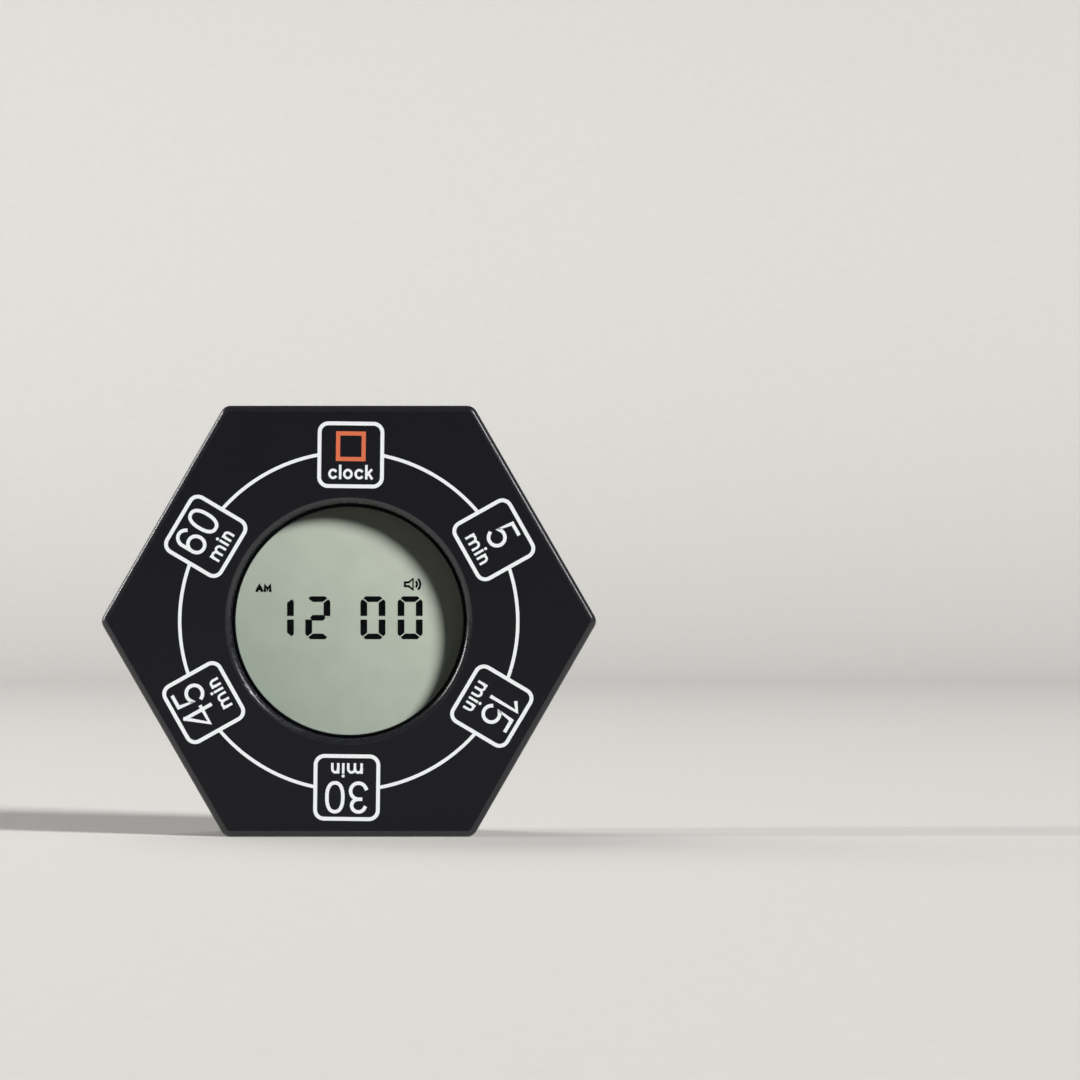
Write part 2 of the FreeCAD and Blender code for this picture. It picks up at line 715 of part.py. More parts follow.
def lcd_holder():
    """The frame that carries the display and its strips, pegged into the main board."""
    body = new_body("lcd_holder")
    inner_across = f"({GLASS_HALF} + holder_gap)"
    inner_up = f"({VIEW_HALF} + contact_ledge + holder_gap)"
    add(body, "frame", BOARD_FRONT, f"{GLASS_MIDDLE} + glass_thickness / 2",
        soft_box(f"-{HOLDER_HALF_ACROSS}", HOLDER_HALF_ACROSS, f"-{HOLDER_HALF_UP}", HOLDER_HALF_UP,
                 "holder_wall"))
    cut(body, "front_seat", GLASS_MIDDLE, f"{GLASS_MIDDLE} + glass_thickness / 2",
        box(f"-{inner_across}", inner_across, f"-{inner_up}", inner_up))
    rear_up = f"({VIEW_HALF} + holder_gap)"
    cut(body, "rear_seat", DISPLAY_BACK, GLASS_MIDDLE,
        box(f"-{inner_across}", inner_across, f"-{rear_up}", rear_up))
    half = "holder_opening / 2"
    cut(body, "opening", BOARD_FRONT, DISPLAY_BACK,
        soft_box(f"-{half}", half, f"-{half}", half, "holder_wall"))
    slots = []
    for side in (-1, 1):
        slots.append(box(*around("0", "zebra_length / 2 + holder_gap"),
                         *around(zebra_place(side), "zebra_width / 2 + holder_gap")))
    cut(body, "strip_slots", BOARD_FRONT, GLASS_MIDDLE, *slots)
    add(body, "pegs", BOARD_BACK, BOARD_FRONT,
        *[circle(place, "peg_radius") for place in four("peg_across", PEG_UP)])
    return body


# The boards and what they carry

def main_board():
    """The round main board on the posts of the front shell."""
    body = new_body("main_board")
    add(body, "board", BOARD_BACK, BOARD_FRONT, circle(("0", "0"), BOARD_RADIUS))
    holes = [circle(place, "small_screw_radius + screw_pass_gap")
             for place in four(BOARD_POST_ACROSS, "board_post_up")]
    holes += [circle(place, "peg_radius + peg_gap") for place in four("peg_across", PEG_UP)]
    cut(body, "holes", BOARD_BACK, BOARD_FRONT, *holes)
    return body


def small_screws(name, places, head, shank_end, outward):
    """Small screws whose heads lie at one level and whose shanks run to another."""
    body = new_body(name)
    far = f"{head} - small_head_height" if outward < 0 else f"{head} + small_head_height"
    low, high = (far, head) if outward < 0 else (head, far)
    add(body, "heads", low, high, *[circle(place, "small_head_radius") for place in places])
    low, high = (head, shank_end) if outward < 0 else (shank_end, head)
    add(body, "shanks", low, high, *[circle(place, "small_screw_radius") for place in places])
    return body


def board_screws():
    """Four screws that hold the main board to the posts of the front shell."""
    return small_screws("board_screws", four(BOARD_POST_ACROSS, "board_post_up"), BOARD_BACK,
                        f"{BOARD_FRONT} + small_screw_reach", -1)


def button_board_screws():
    """Two screws that hold the button board to the posts of the rear shell."""
    places = [(f"{side} * button_post_across", "button_row") for side in (-1, 1)]
    return small_screws("button_board_screws", places, BUTTON_BOARD_FRONT,
                        f"{BUTTON_BOARD_BACK} - small_screw_reach", 1)


def controller_blob():
    """The black resin dome over the controller chip."""
    piece = doc.addObject("Part::Sphere", "controller_blob")
    piece.Label = "controller_blob"
    ball = "((blob_radius ^ 2 + blob_height ^ 2) / (2 * blob_height))"
    bind(piece, "Radius", ball)
    bind(piece, "Angle1", f"asin(1 - blob_height / {ball})")
    piece.Angle2 = 90
    piece.Placement = Placement(Vector(0, 0, 0), Rotation(Vector(1, 0, 0), -90))
    bind(piece, "Placement.Base.z", "across_flats / 2 + blob_up")
    bind(piece, "Placement.Base.y", f"-({BOARD_BACK} + {ball} - blob_height)")
    doc.recompute()
    SUB_PARTS.append(piece)


def tilt_sensor():
    """The square chip that feels which way is down."""
    body = new_body("tilt_sensor")
    half = "tilt_size / 2"
    add(body, "chip", f"{BOARD_BACK} - tilt_height", BOARD_BACK,
        box(f"tilt_across - {half}", f"tilt_across + {half}", f"tilt_up - {half}", f"tilt_up + {half}"))
    return body


def crystal():
    """The clock crystal in its can, lying on the board."""
    body = new_body("crystal")
    add(body, "can", "crystal_up", "crystal_up + crystal_length",
        circle(("crystal_across", f"{BOARD_BACK} - crystal_radius"), "crystal_radius"), along="up")
    return body


def capacitors():
    """Two standing capacitors."""
    body = new_body("capacitors")
    places = [("capacitor_across", "capacitor_up"), ("capacitor_across + capacitor_spacing", "capacitor_up")]
    add(body, "cans", f"{BOARD_BACK} - capacitor_height", BOARD_BACK,
        *[circle(place, "capacitor_radius") for place in places])
    break_edges(body, "tops", "Fillet", "capacitor_radius / 8", at_level(f"{BOARD_BACK} - capacitor_height"))
    return body


def boost_coil():
    """The drum coil that drives the sounder."""
    body = new_body("boost_coil")
    place = ("coil_across", "coil_up")
    low = f"{BOARD_BACK} - coil_height"
    add(body, "core", low, BOARD_BACK, circle(place, "coil_core_radius"))
    add(body, "outer_flange", low, f"{low} + coil_flange", circle(place, "coil_radius"))
    add(body, "inner_flange", f"{BOARD_BACK} - coil_flange", BOARD_BACK, circle(place, "coil_radius"))
    return body


def chip_parts():
    """A row of resistors and small capacitors."""
    body = new_body("chip_parts")
    chips = []
    for step in (-2, -1, 0, 1, 2):
        middle = f"{step} * chip_spacing"
        chips.append(box(f"{middle} - chip_width / 2", f"{middle} + chip_width / 2",
                         "chip_row_up - chip_length / 2", "chip_row_up + chip_length / 2"))
    add(body, "chips", f"{BOARD_BACK} - chip_height", BOARD_BACK, *chips)
    return body


def button_board():
    """The small board behind the buttons."""
    body = new_body("button_board")
    add(body, "board", BUTTON_BOARD_BACK, BUTTON_BOARD_FRONT,
        soft_box("-button_board_half", "button_board_half",
                 "button_row - button_board_top", "button_row + button_board_top", "post_radius"))
    cut(body, "holes", BUTTON_BOARD_BACK, BUTTON_BOARD_FRONT,
        *[circle((f"{side} * button_post_across", "button_row"), "small_screw_radius + screw_pass_gap")
          for side in (-1, 1)])
    return body


# The controls

def push_button(name, across):
    """A button with a dished face and a flange that keeps it in the shell."""
    body = new_body(f"{name}_button")
    place = (across, "button_row")
    add(body, "cap", BUTTON_OUTSIDE, FLANGE_INSIDE, circle(place, "button_radius"))
    add(body, "flange", FLANGE_OUTSIDE, FLANGE_INSIDE, circle(place, "button_radius + button_flange"))
    break_edges(body, "rim", "Fillet", "button_edge_round", at_level(BUTTON_OUTSIDE))
    dish(body, place)
    return body


def dish(body, place):
    """Hollow a button's face with a shallow bowl for the fingertip."""
    before = volume(body)
    ball = "((dish_radius ^ 2 + dish_depth ^ 2) / (2 * dish_depth))"
    bowl = body.newObject("PartDesign::SubtractiveSphere", f"{body.Name}_dish")
    plane = next(each for each in body.Origin.OriginFeatures if each.Role == PLANES["toward"])
    bowl.AttachmentSupport = [(plane, "")]
    bowl.MapMode = "FlatFace"
    bind(bowl, "Radius", ball)
    bind(bowl, "AttachmentOffset.Base.x", place[0])
    bind(bowl, "AttachmentOffset.Base.y", place[1])
    bind(bowl, "AttachmentOffset.Base.z", f"{BUTTON_OUTSIDE} + dish_depth - {ball}")
    doc.recompute()
    if volume(body) >= before:
        raise ValueError(f"{bowl.Name} cuts nothing")


def button_switch(name, across):
    """The switch behind a button, with a bore for its plunger."""
    body = new_body(f"{name}_switch")
    half = "switch_size / 2"
    add(body, "base", SWITCH_OUTSIDE, BUTTON_BOARD_BACK,
        soft_box(f"{across} - {half}", f"{across} + {half}", f"button_row - {half}", f"button_row + {half}",
                 "switch_corner"))
    cut(body, "bore", SWITCH_OUTSIDE, f"{SWITCH_OUTSIDE} + plunger_hidden + button_travel + plunger_gap",
        circle((across, "button_row"), "plunger_radius + plunger_gap"))
    return body


def switch_plunger(name, across):
    """The plunger between a button and its switch."""
    body = new_body(f"{name}_plunger")
    add(body, "pin", FLANGE_INSIDE, f"{SWITCH_OUTSIDE} + plunger_hidden",
        circle((across, "button_row"), "plunger_radius"))
    return body


SLIDE_FACE = f"({BUTTON_BOARD_BACK} - slide_body_height)"
SLIDE_PLATE_INSIDE = f"({FLANGE_OUTSIDE} + slide_plate_thickness)"


def sound_switch_knob():
    """The slide switch's knob: a ribbed cap, a plate that covers the slot, and the stem."""
    body = new_body("sound_switch_knob")
    plate_half = "slide_cap_length / 2 + 2 * slide_travel + slide_gap + slide_plate_overlap"
    add(body, "plate", FLANGE_OUTSIDE, SLIDE_PLATE_INSIDE,
        box(*around("slide_across", plate_half), *around("button_row", "slide_plate_width / 2")))
    add(body, "cap", f"{BACK} + slide_sink", FLANGE_OUTSIDE,
        box(*around("slide_across", "slide_cap_length / 2"), *around("button_row", "slide_cap_width / 2")))
    add(body, "stem", SLIDE_PLATE_INSIDE, f"{SLIDE_FACE} + slide_stem_reach",
        box(*around("slide_across", "slide_stem_length / 2"), *around("button_row", "slide_stem_width / 2")))
    grooves = []
    for step in (-1, 0, 1):
        middle = f"slide_across + {step} * slide_cap_length / 4"
        grooves.append(box(*around(middle, "slide_cap_length / 16"),
                           *around("button_row", "slide_cap_width / 2")))
    cut(body, "grooves", f"{BACK} + slide_sink", f"{BACK} + slide_sink + slide_cap_length / 12", *grooves)
    return body


def sound_switch_body():
    """The fixed part of the slide switch, slotted for the stem."""
    body = new_body("sound_switch_body")
    add(body, "can", SLIDE_FACE, BUTTON_BOARD_BACK,
        box(*around("slide_across", "slide_body_length / 2"), *around("button_row", "slide_body_width / 2")))
    cut(body, "slot", SLIDE_FACE, f"{SLIDE_FACE} + slide_stem_reach + slide_gap",
        box(*around("slide_across", "slide_stem_length / 2 + slide_travel + slide_gap"),
            *around("button_row", "slide_stem_width / 2 + slide_gap")))
    return body


# The sounder

SOUNDER_SEAT = f"({BACK_INSIDE} + sounder_chamber)"


def sounder_disc():
    """The brass disc of the sounder, on the ledge of its ring."""
    body = new_body("sounder_disc")
    add(body, "disc", SOUNDER_SEAT, f"{SOUNDER_SEAT} + sounder_thickness",
        circle(("0", SOUNDER_UP), SOUNDER_RADIUS))
    return body


def sounder_element():
    """The ceramic element on the disc."""
    body = new_body("sounder_element")
    low = f"({SOUNDER_SEAT} + sounder_thickness)"
    add(body, "disc", low, f"{low} + element_thickness", circle(("0", SOUNDER_UP), "element_radius"))
    return body


# The battery side

def battery(name, middle, positive):
    """One cell: the can and, at its positive end, the nub."""
    body = new_body(f"{name}_battery")
    left, right = cell_ends(positive)
    add(body, "can", left, right, circle((middle, CELL_MIDDLE), "cell_radius"), along="across")
    round_ends = [edge for edge in body.Tip.Shape.Edges if isinstance(edge.Curve, Part.Circle)]
    break_edges(body, "rims", "Fillet", "cell_edge_round",
                lambda edge: any(edge.isSame(each) for each in round_ends))
    if positive > 0:
        low, high = right, f"{right} + cell_nub_height"
    else:
        low, high = f"{left} - cell_nub_height", left
    add(body, "nub", low, high, circle((middle, CELL_MIDDLE), "cell_nub_radius"), along="across")
    return body


def cell_ends(positive):
    """Where a cell's can ends: its flat end rests on the spring, and its nub is at the other end."""
    near = f"({BAY_HALF_ACROSS} - contact_plate - spring_length)"
    if positive > 0:
        return f"-{near}", f"(-{near} + cell_length - cell_nub_height)"
    return f"({near} - cell_length + cell_nub_height)", near


def plate_loop(middle):
    """The outline of a contact plate for one cell."""
    half_up = "contact_width / 2"
    return box(*around(middle, half_up), f"{BAY_FLOOR} - contact_height", BAY_FLOOR)


def contact_bump(body, middle, side):
    """The raised spot of a contact plate that touches a cell's nub."""
    near = f"({BAY_HALF_ACROSS} - contact_plate)"
    if side > 0:
        low, high = f"{near} - bump_height", near
    else:
        low, high = f"-{near}", f"-{near} + bump_height"
    add(body, "bump", low, high, circle((middle, CELL_MIDDLE), "bump_radius"), along="across")


def battery_link():
    """The plate that joins the two cells at the left end of the bay."""
    body = new_body("battery_link")
    add(body, "plate", f"-{BAY_HALF_ACROSS}", f"-{BAY_HALF_ACROSS} + contact_plate",
        box(f"{LOWER_CELL} - contact_width / 2", f"{UPPER_CELL} + contact_width / 2",
            f"{BAY_FLOOR} - contact_height", BAY_FLOOR), along="across")
    contact_bump(body, LOWER_CELL, -1)
    return body


def end_contact(name, middle, bump):
    """A contact plate at the right end, with a tab through the bay's floor for its lead."""
    body = new_body(name)
    add(body, "plate", f"{BAY_HALF_ACROSS} - contact_plate", BAY_HALF_ACROSS, plate_loop(middle),
        along="across")
    add(body, "tab", f"{BAY_HALF_ACROSS} - contact_plate", BAY_HALF_ACROSS,
        box(*around(middle, "contact_tab_width / 2"), BAY_FLOOR, f"{BAY_ROOF} + contact_tab_reach"),
        along="across")
    if bump:
        contact_bump(body, middle, 1)
    return body


def biarc(first, heading, last, arrival):
    """Two arcs that leave one point and reach another in the directions given."""
    chord = last - first
    both = heading + arrival
    spread = 2 * (1 - heading.dot(arrival))
    along = chord.dot(both)
    handle = (math.sqrt(along ** 2 + spread * chord.dot(chord)) - along) / spread
    joint = (first + last + (heading - arrival) * handle) / 2
    arcs = []
    for begin, elbow, end in ((first, first + heading * handle, joint),
                              (joint, last - arrival * handle, last)):
        half_chord = (end - begin).Length / 2
        lean = math.acos(half_chord / handle)
        middle = (begin + end) / 2
        bulge = (elbow - middle).normalize() * (half_chord * math.tan(lean / 2))
        arcs.append(Part.Arc(begin, middle + bulge, end).toShape())
    return arcs


def battery_spring(name, middle, side):
    """A conical spring on one end plate, as one unbroken wire in half-turn steps."""
    wire = value("spring_wire")
    halves = round(2 * value("spring_turns"))
    length = value("spring_length") - wire
    base = value("spring_base_radius")
    tip = value("spring_tip_radius")
    plate = value(f"{BAY_HALF_ACROSS} - contact_plate") - wire / 2
    up = value(middle)
    toward = value(CELL_MIDDLE)
    sweep = halves * math.pi

    def place(angle):
        share = angle / sweep
        radius = base + (tip - base) * share
        return Vector(side * (plate - length * share), up + radius * math.cos(angle),
                      toward + radius * math.sin(angle))

    def heading(angle):
        radius = base + (tip - base) * angle / sweep
        closing = (tip - base) / sweep
        way = Vector(-side * length / sweep, closing * math.cos(angle) - radius * math.sin(angle),
                     closing * math.sin(angle) + radius * math.cos(angle))
        return way.normalize()

    edges = []
    for step in range(halves):
        start = step * math.pi
        edges += biarc(place(start), heading(start), place(start + math.pi), heading(start + math.pi))
    path = Part.Wire(edges)
    ring = Part.Wire(Part.Circle(place(0), heading(0), wire / 2).toShape())
    piece = doc.addObject("Part::Feature", f"{name}_spring")
    piece.Label = f"{name}_spring"
    piece.Shape = path.makePipeShell([ring], True, False)
    print(f"{name}_spring: least gap to itself {self_gap(edges, wire):.2f} mm")
    return piece


def self_gap(edges, wire):
    """The least gap between turns, measured on points of the path."""
    points = []
    for edge in edges:
        points += edge.discretize(ARC_POINTS + 1)[:-1]
    half_turn = 2 * ARC_POINTS
    return min(
        (one - other).Length for n, one in enumerate(points) for other in points[n + half_turn:]
    ) - wire


def battery_door():
    """The door over the bay, with two hinge tabs at its upper edge and a springy latch at its lower."""
    body = new_body("battery_door")
    add(body, "panel", BACK, DOOR_INSIDE,
        soft_box(f"-{DOOR_HALF_ACROSS}", DOOR_HALF_ACROSS, DOOR_LOW, DOOR_HIGH, "door_corner"))
    break_edges(body, "outer_edge", "Fillet", "door_edge_round", at_level(BACK))
    tabs = []
    for side in (-1, 1):
        tabs.append(box(*around(f"{side} * tab_across", "tab_width / 2"),
                        BAY_HIGH, f"{DOOR_HIGH} + tab_reach"))
    add(body, "tabs", DOOR_INSIDE, f"{DOOR_INSIDE} + tab_thickness", *tabs)
    slots = []
    for side in (-1, 1):
        slots.append(box(*around(f"{side} * latch_width / 2", "latch_slot / 2"),
                         DOOR_LOW, f"{DOOR_LOW} + latch_length"))
    cut(body, "latch_slots", BACK, DOOR_INSIDE, *slots)
    grooves = []
    for step in (1, 2, 3):
        middle = f"{DOOR_LOW} + {step} * latch_length / 4"
        grooves.append(box(*around("0", "latch_width / 2 - latch_slot / 2 - latch_groove"),
                           *around(middle, "latch_groove / 2")))
    cut(body, "latch_grooves", BACK, f"{BACK} + latch_groove_depth", *grooves)
    return body


# The wires

def rounded_route(points):
    """A route of straight runs joined by arcs, each as large as its two runs allow."""
    points = [Vector(*point) for point in points]
    starts = [points[0]]
    edges = []
    radii = []
    for before, corner, after in zip(points, points[1:], points[2:]):
        back = (before - corner).normalize()
        ahead = (after - corner).normalize()
        shorter = min((before - corner).Length, (after - corner).Length)
        half_turn = (math.pi - back.getAngle(ahead)) / 2
        reach = BEND_SHARE * shorter
        radii.append(reach / math.tan(half_turn))
        first = corner + back * reach
        last = corner + ahead * reach
        middle_way = (back + ahead).normalize()
        depth = radii[-1] / math.cos(half_turn) - radii[-1]
        edges.append(Part.LineSegment(starts[-1], first).toShape())
        edges.append(Part.Arc(first, corner + middle_way * depth, last).toShape())
        starts.append(last)
    edges.append(Part.LineSegment(starts[-1], points[-1]).toShape())
    return Part.Wire(edges), radii


def lead(name, points):
    """A round insulated wire along a rounded route."""
    path, radii = rounded_route([[value(part) for part in point] for point in points])
    radius = value("lead_radius")
    start = path.Edges[0]
    ring = Part.Wire(Part.Circle(start.valueAt(start.FirstParameter),
                                 start.tangentAt(start.FirstParameter), radius).toShape())
    piece = doc.addObject("Part::Feature", name)
    piece.Label = name
    piece.Shape = path.makePipeShell([ring], True, False)
    ratio = piece.Shape.Volume / (math.pi * radius ** 2 * path.Length)
    print(f"{name}: {path.Length:.1f} mm, least radius {min(radii):.1f} mm, volume ratio {ratio:.4f}")
    return piece


def leads():
    """The four leads: two from the battery contacts and two from the sounder to the main board."""
    tab = f"{BAY_HALF_ACROSS} - contact_plate"
    low = f"{BAY_ROOF} + lead_radius + lead_gap"
    board = f"{BOARD_BACK} - lead_radius"
    disc = f"{SOUNDER_SEAT} + sounder_thickness"
    element = f"{disc} + element_thickness"
    return [
        lead("battery_lead_red", [
            (tab, UPPER_CELL, low),
            (f"{tab} - 5.6", UPPER_CELL, low),
            (f"{tab} - 11.1", f"{UPPER_CELL} + 0.9", board),
            (f"{tab} - 17", f"{UPPER_CELL} + 0.6", board),
        ]),
        lead("battery_lead_black", [
            (tab, LOWER_CELL, low),
            (f"{tab} - 7", LOWER_CELL, low),
            (f"{tab} - 13.5", f"{LOWER_CELL} - 1.6", board),
            (f"{tab} - 20", f"{LOWER_CELL} - 1.1", board),
        ]),
        lead("sounder_lead_red", [
            ("3", SOUNDER_UP, element),
            ("3", SOUNDER_UP, f"{element} + 6"),
            ("5", f"{SOUNDER_UP} - 4", f"{board} - 2.5"),
            ("6.5", f"{SOUNDER_UP} - 9.5", board),
            ("6.5", f"{SOUNDER_UP} - 14", board),
        ]),
        lead("sounder_lead_black", [
            ("-8", SOUNDER_UP, disc),
            ("-8", SOUNDER_UP, f"{disc} + 6"),
            ("-6.5", f"{SOUNDER_UP} - 4.5", f"{board} - 2.5"),
            ("-5", f"{SOUNDER_UP} - 9.5", board),
            ("-5", f"{SOUNDER_UP} - 13", board),
        ]),
    ]


def ribbon_cable():
    """The flat cable that joins the two boards, in one bend out and one bend back."""
    body = new_body("ribbon_cable")
    low = BUTTON_BOARD_FRONT
    high = BOARD_BACK
    near = "button_row + ribbon_start"
    far = "button_row + ribbon_finish"
    thick = "ribbon_thickness"
    add(body, "band", *around("ribbon_across", "ribbon_width / 2"),
        polygon((near, low), (f"{near} + {thick}", low), (f"{near} + {thick}", f"{low} + ribbon_foot"),
                (f"{far} + {thick}", f"{high} - ribbon_foot"), (f"{far} + {thick}", high), (far, high),
                (far, f"{high} - ribbon_foot"), (near, f"{low} + ribbon_foot")), along="across")
    return body


# Everything, piece by piece

pieces = [
    front_shell(),
    rear_shell(),
    case_screws(),
    window_lens(),
    pane("lcd_front_polarizer", GLASS_FRONT, DISPLAY_FRONT, "polarizer_margin", 0),
    pane("lcd_front_glass", GLASS_MIDDLE, GLASS_FRONT, "0", 1),
    pane("lcd_rear_glass", GLASS_BACK, GLASS_MIDDLE, "0", 0),
    pane("lcd_reflector", DISPLAY_BACK, GLASS_BACK, "polarizer_margin", 0),
    zebra_strip("upper_zebra_strip", 1),
    zebra_strip("lower_zebra_strip", -1),
    lcd_holder(),
    main_board(),
    board_screws(),
    tilt_sensor(),
    crystal(),
    capacitors(),
    boost_coil(),
    chip_parts(),
    button_board(),
    button_board_screws(),
    sound_switch_knob(),
    sound_switch_body(),
    sounder_disc(),
    sounder_element(),
    battery("upper", UPPER_CELL, 1),
    battery("lower", LOWER_CELL, -1),
    battery_link(),
    end_contact("positive_contact", UPPER_CELL, True),
    end_contact("negative_contact", LOWER_CELL, False),
    battery_spring("upper_battery", UPPER_CELL, -1),
    battery_spring("lower_battery", LOWER_CELL, 1),
    battery_door(),
    ribbon_cable(),
]
for name in ("set", "hour", "minute"):
    across = f"{name}_across"
    pieces += [push_button(name, across), button_switch(name, across), switch_plunger(name, across)]
pieces += leads()
for piece in pieces:
    stand_up(piece)
controller_blob()
doc.recompute()

for each in doc.Objects:
    if "Invalid" in each.State or "Error" in each.State:
        raise ValueError(f"{each.Name} did not compute: {each.State}")
for piece in SUB_PARTS:
    if piece.Shape.isNull() or not piece.Shape.isValid():
        raise ValueError(f"{piece.Label} has no sound shape")

os.makedirs("parts", exist_ok=True)
for piece in SUB_PARTS:
    piece.Shape.exportStep(f"parts/{piece.Label}.step")
print(f"{len(SUB_PARTS)} sub-parts written")
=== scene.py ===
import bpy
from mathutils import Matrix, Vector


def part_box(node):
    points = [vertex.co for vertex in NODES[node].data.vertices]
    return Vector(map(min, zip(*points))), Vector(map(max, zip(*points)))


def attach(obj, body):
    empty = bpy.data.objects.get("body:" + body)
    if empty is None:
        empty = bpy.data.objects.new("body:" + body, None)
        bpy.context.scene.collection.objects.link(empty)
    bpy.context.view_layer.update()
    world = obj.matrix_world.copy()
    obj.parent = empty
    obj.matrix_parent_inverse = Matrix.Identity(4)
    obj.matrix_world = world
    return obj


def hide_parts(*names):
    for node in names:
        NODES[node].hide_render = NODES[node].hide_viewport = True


bl_info = {
    "name": "Hexagonal Desk Timer",
    "version": (1, 0, 0),
    "blender": (4, 5, 0),
    "location": "View3D > Sidebar > Timer",
    "description": "Dresses the solids of a hexagonal desk timer: print, display, finishes and studio",
    "category": "Object",
}

import bpy
import bmesh
import math
from mathutils import Matrix, Vector
from bpy.props import FloatProperty, FloatVectorProperty, PointerProperty, StringProperty

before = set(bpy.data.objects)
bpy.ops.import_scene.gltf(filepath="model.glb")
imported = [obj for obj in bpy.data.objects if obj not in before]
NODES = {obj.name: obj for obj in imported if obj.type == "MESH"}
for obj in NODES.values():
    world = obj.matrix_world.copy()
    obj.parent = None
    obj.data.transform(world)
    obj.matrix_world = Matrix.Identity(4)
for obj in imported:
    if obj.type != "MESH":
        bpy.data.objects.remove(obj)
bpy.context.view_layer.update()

MM = 0.001

CASE_LOW, CASE_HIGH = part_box("front_shell")
FACE_Y = CASE_LOW.y
BACK_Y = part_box("rear_shell")[1].y
CENTRE_Z = (CASE_LOW.z + CASE_HIGH.z) / 2
DISPLAY_LOW, DISPLAY_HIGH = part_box("lcd_front_polarizer")

# Flat artwork is drawn in metres as (across, up, out), as someone who faces it sees it.
STOOD_UP = Matrix.Rotation(math.pi / 2, 4, "X")
TURNED_ROUND = Matrix.Rotation(math.pi, 4, "Z")
FACE_PLANE = Matrix.Translation((0, FACE_Y, CENTRE_Z)) @ STOOD_UP
DISPLAY_PLANE = Matrix.Translation((0, DISPLAY_LOW.y, CENTRE_Z)) @ STOOD_UP
BACK_PLANE = Matrix.Translation((0, BACK_Y, CENTRE_Z)) @ TURNED_ROUND @ STOOD_UP

# Small artwork starts this far inside what it lies on, and stands this far out of it.
INK_FOOT = -0.01 * MM
INK_TOP = 0.02 * MM
PAD_PRINT_TOP = 0.015 * MM

# How far a facet's normal leans towards front or back, from 0 on a side to 1 on a flat face.
SIDE_LEAN, FLAT_LEAN = 0.02, 0.999

# A noise keeps to the middle of its range, so this stretch of it is spread over the whole.
MARKS_LOW, MARKS_HIGH = 0.35, 0.65
MARKS_RANGE = {"From Min": MARKS_LOW, "From Max": MARKS_HIGH}

# The kinds of ray by which the eye sees the room, also in gloss and through glass.
SEEING_RAYS = ("Is Camera Ray", "Is Glossy Ray", "Is Transmission Ray")


# Colours and nodes

def linear(hex_colour):
    """An sRGB hex colour as the linear colour that shaders take."""
    parts = [int(hex_colour[n:n + 2], 16) / 255 for n in (1, 3, 5)]
    return tuple(c / 12.92 if c <= 0.04045 else ((c + 0.055) / 1.055) ** 2.4 for c in parts)


def rgba(colour):
    """A colour with full cover."""
    return (*tuple(colour)[:3], 1.0)


def tinted(colour, share):
    """A colour made darker or lighter by a share."""
    return tuple(min(1.0, part * share) for part in tuple(colour)[:3])


def two_shades(colour, dark, light):
    """The stops of a ramp that mixes two close shades by a noise."""
    return (MARKS_LOW, tinted(colour, dark)), (MARKS_HIGH, tinted(colour, light))


def add_node(tree, kind, settings=None, links=None):
    """Add a node with its settings and links.

    A setting is an input's value, the stops of a colour ramp, or a property of the node. A link
    leads from an output, or a node's first output, to the input with that name or number.
    """
    node = tree.nodes.new(kind)
    for name, setting in (settings or {}).items():
        if name == "stops":
            elements = node.color_ramp.elements
            for n, (position, colour) in enumerate(setting):
                element = elements[n] if n < len(elements) else elements.new(position)
                element.position = position
                element.color = rgba(colour)
        elif isinstance(name, int) or name in node.inputs:
            node.inputs[name].default_value = setting
        else:
            setattr(node, name, setting)
    for name, source in (links or {}).items():
        output = source.outputs[0] if isinstance(source, bpy.types.Node) else source
        tree.links.new(output, node.inputs[name])
    return node


def new_material(name):
    """A material with an empty node tree, and the tree."""
    material = bpy.data.materials.new(name)
    material.use_nodes = True
    material.node_tree.nodes.clear()
    return material, material.node_tree


def surfaced(material, shader):
    """Give a material its shader."""
    add_node(material.node_tree, "ShaderNodeOutputMaterial", links={"Surface": shader})
    return material


def grain(tree, size, detail, stretch=(1, 1, 1)):
    """Noise fixed to the object, whose grains have a real size."""
    place = add_node(tree, "ShaderNodeTexCoord")
    scaled = add_node(tree, "ShaderNodeMapping", {"Scale": stretch}, {"Vector": place.outputs["Object"]})
    return add_node(tree, "ShaderNodeTexNoise", {"Scale": 1 / size, "Detail": detail}, {"Vector": scaled})


def marked_shader(tree, settings, links=None, shade=None, gloss=None, relief=None):
    """A surface whose shade, gloss and relief follow the marks on it.

    Shade is the marks, the colour, and the shares by which it gets darker and lighter. Gloss is the
    marks and the least and greatest roughness. Relief is the marks, their depth and their strength.
    """
    links = dict(links or {})
    if shade:
        marks, *colours = shade
        links["Base Color"] = add_node(tree, "ShaderNodeValToRGB", {"stops": two_shades(*colours)},
                                       {"Fac": marks})
    if gloss:
        marks, low, high = gloss
        links["Roughness"] = add_node(tree, "ShaderNodeMapRange",
                                      {**MARKS_RANGE, "To Min": low, "To Max": high}, {"Value": marks})
    if relief:
        marks, depth, strength = relief
        links["Normal"] = add_node(tree, "ShaderNodeBump", {"Distance": depth, "Strength": strength},
                                   {"Height": marks})
    return add_node(tree, "ShaderNodeBsdfPrincipled", settings, links)


def arriving(tree, *kinds):
    """One where any of the named kinds of ray arrives, and nothing elsewhere."""
    path = add_node(tree, "ShaderNodeLightPath")
    share = path.outputs[kinds[0]]
    for kind in kinds[1:]:
        share = add_node(tree, "ShaderNodeMath", {"operation": "MAXIMUM"},
                         {0: share, 1: path.outputs[kind]}).outputs[0]
    return share


# Materials

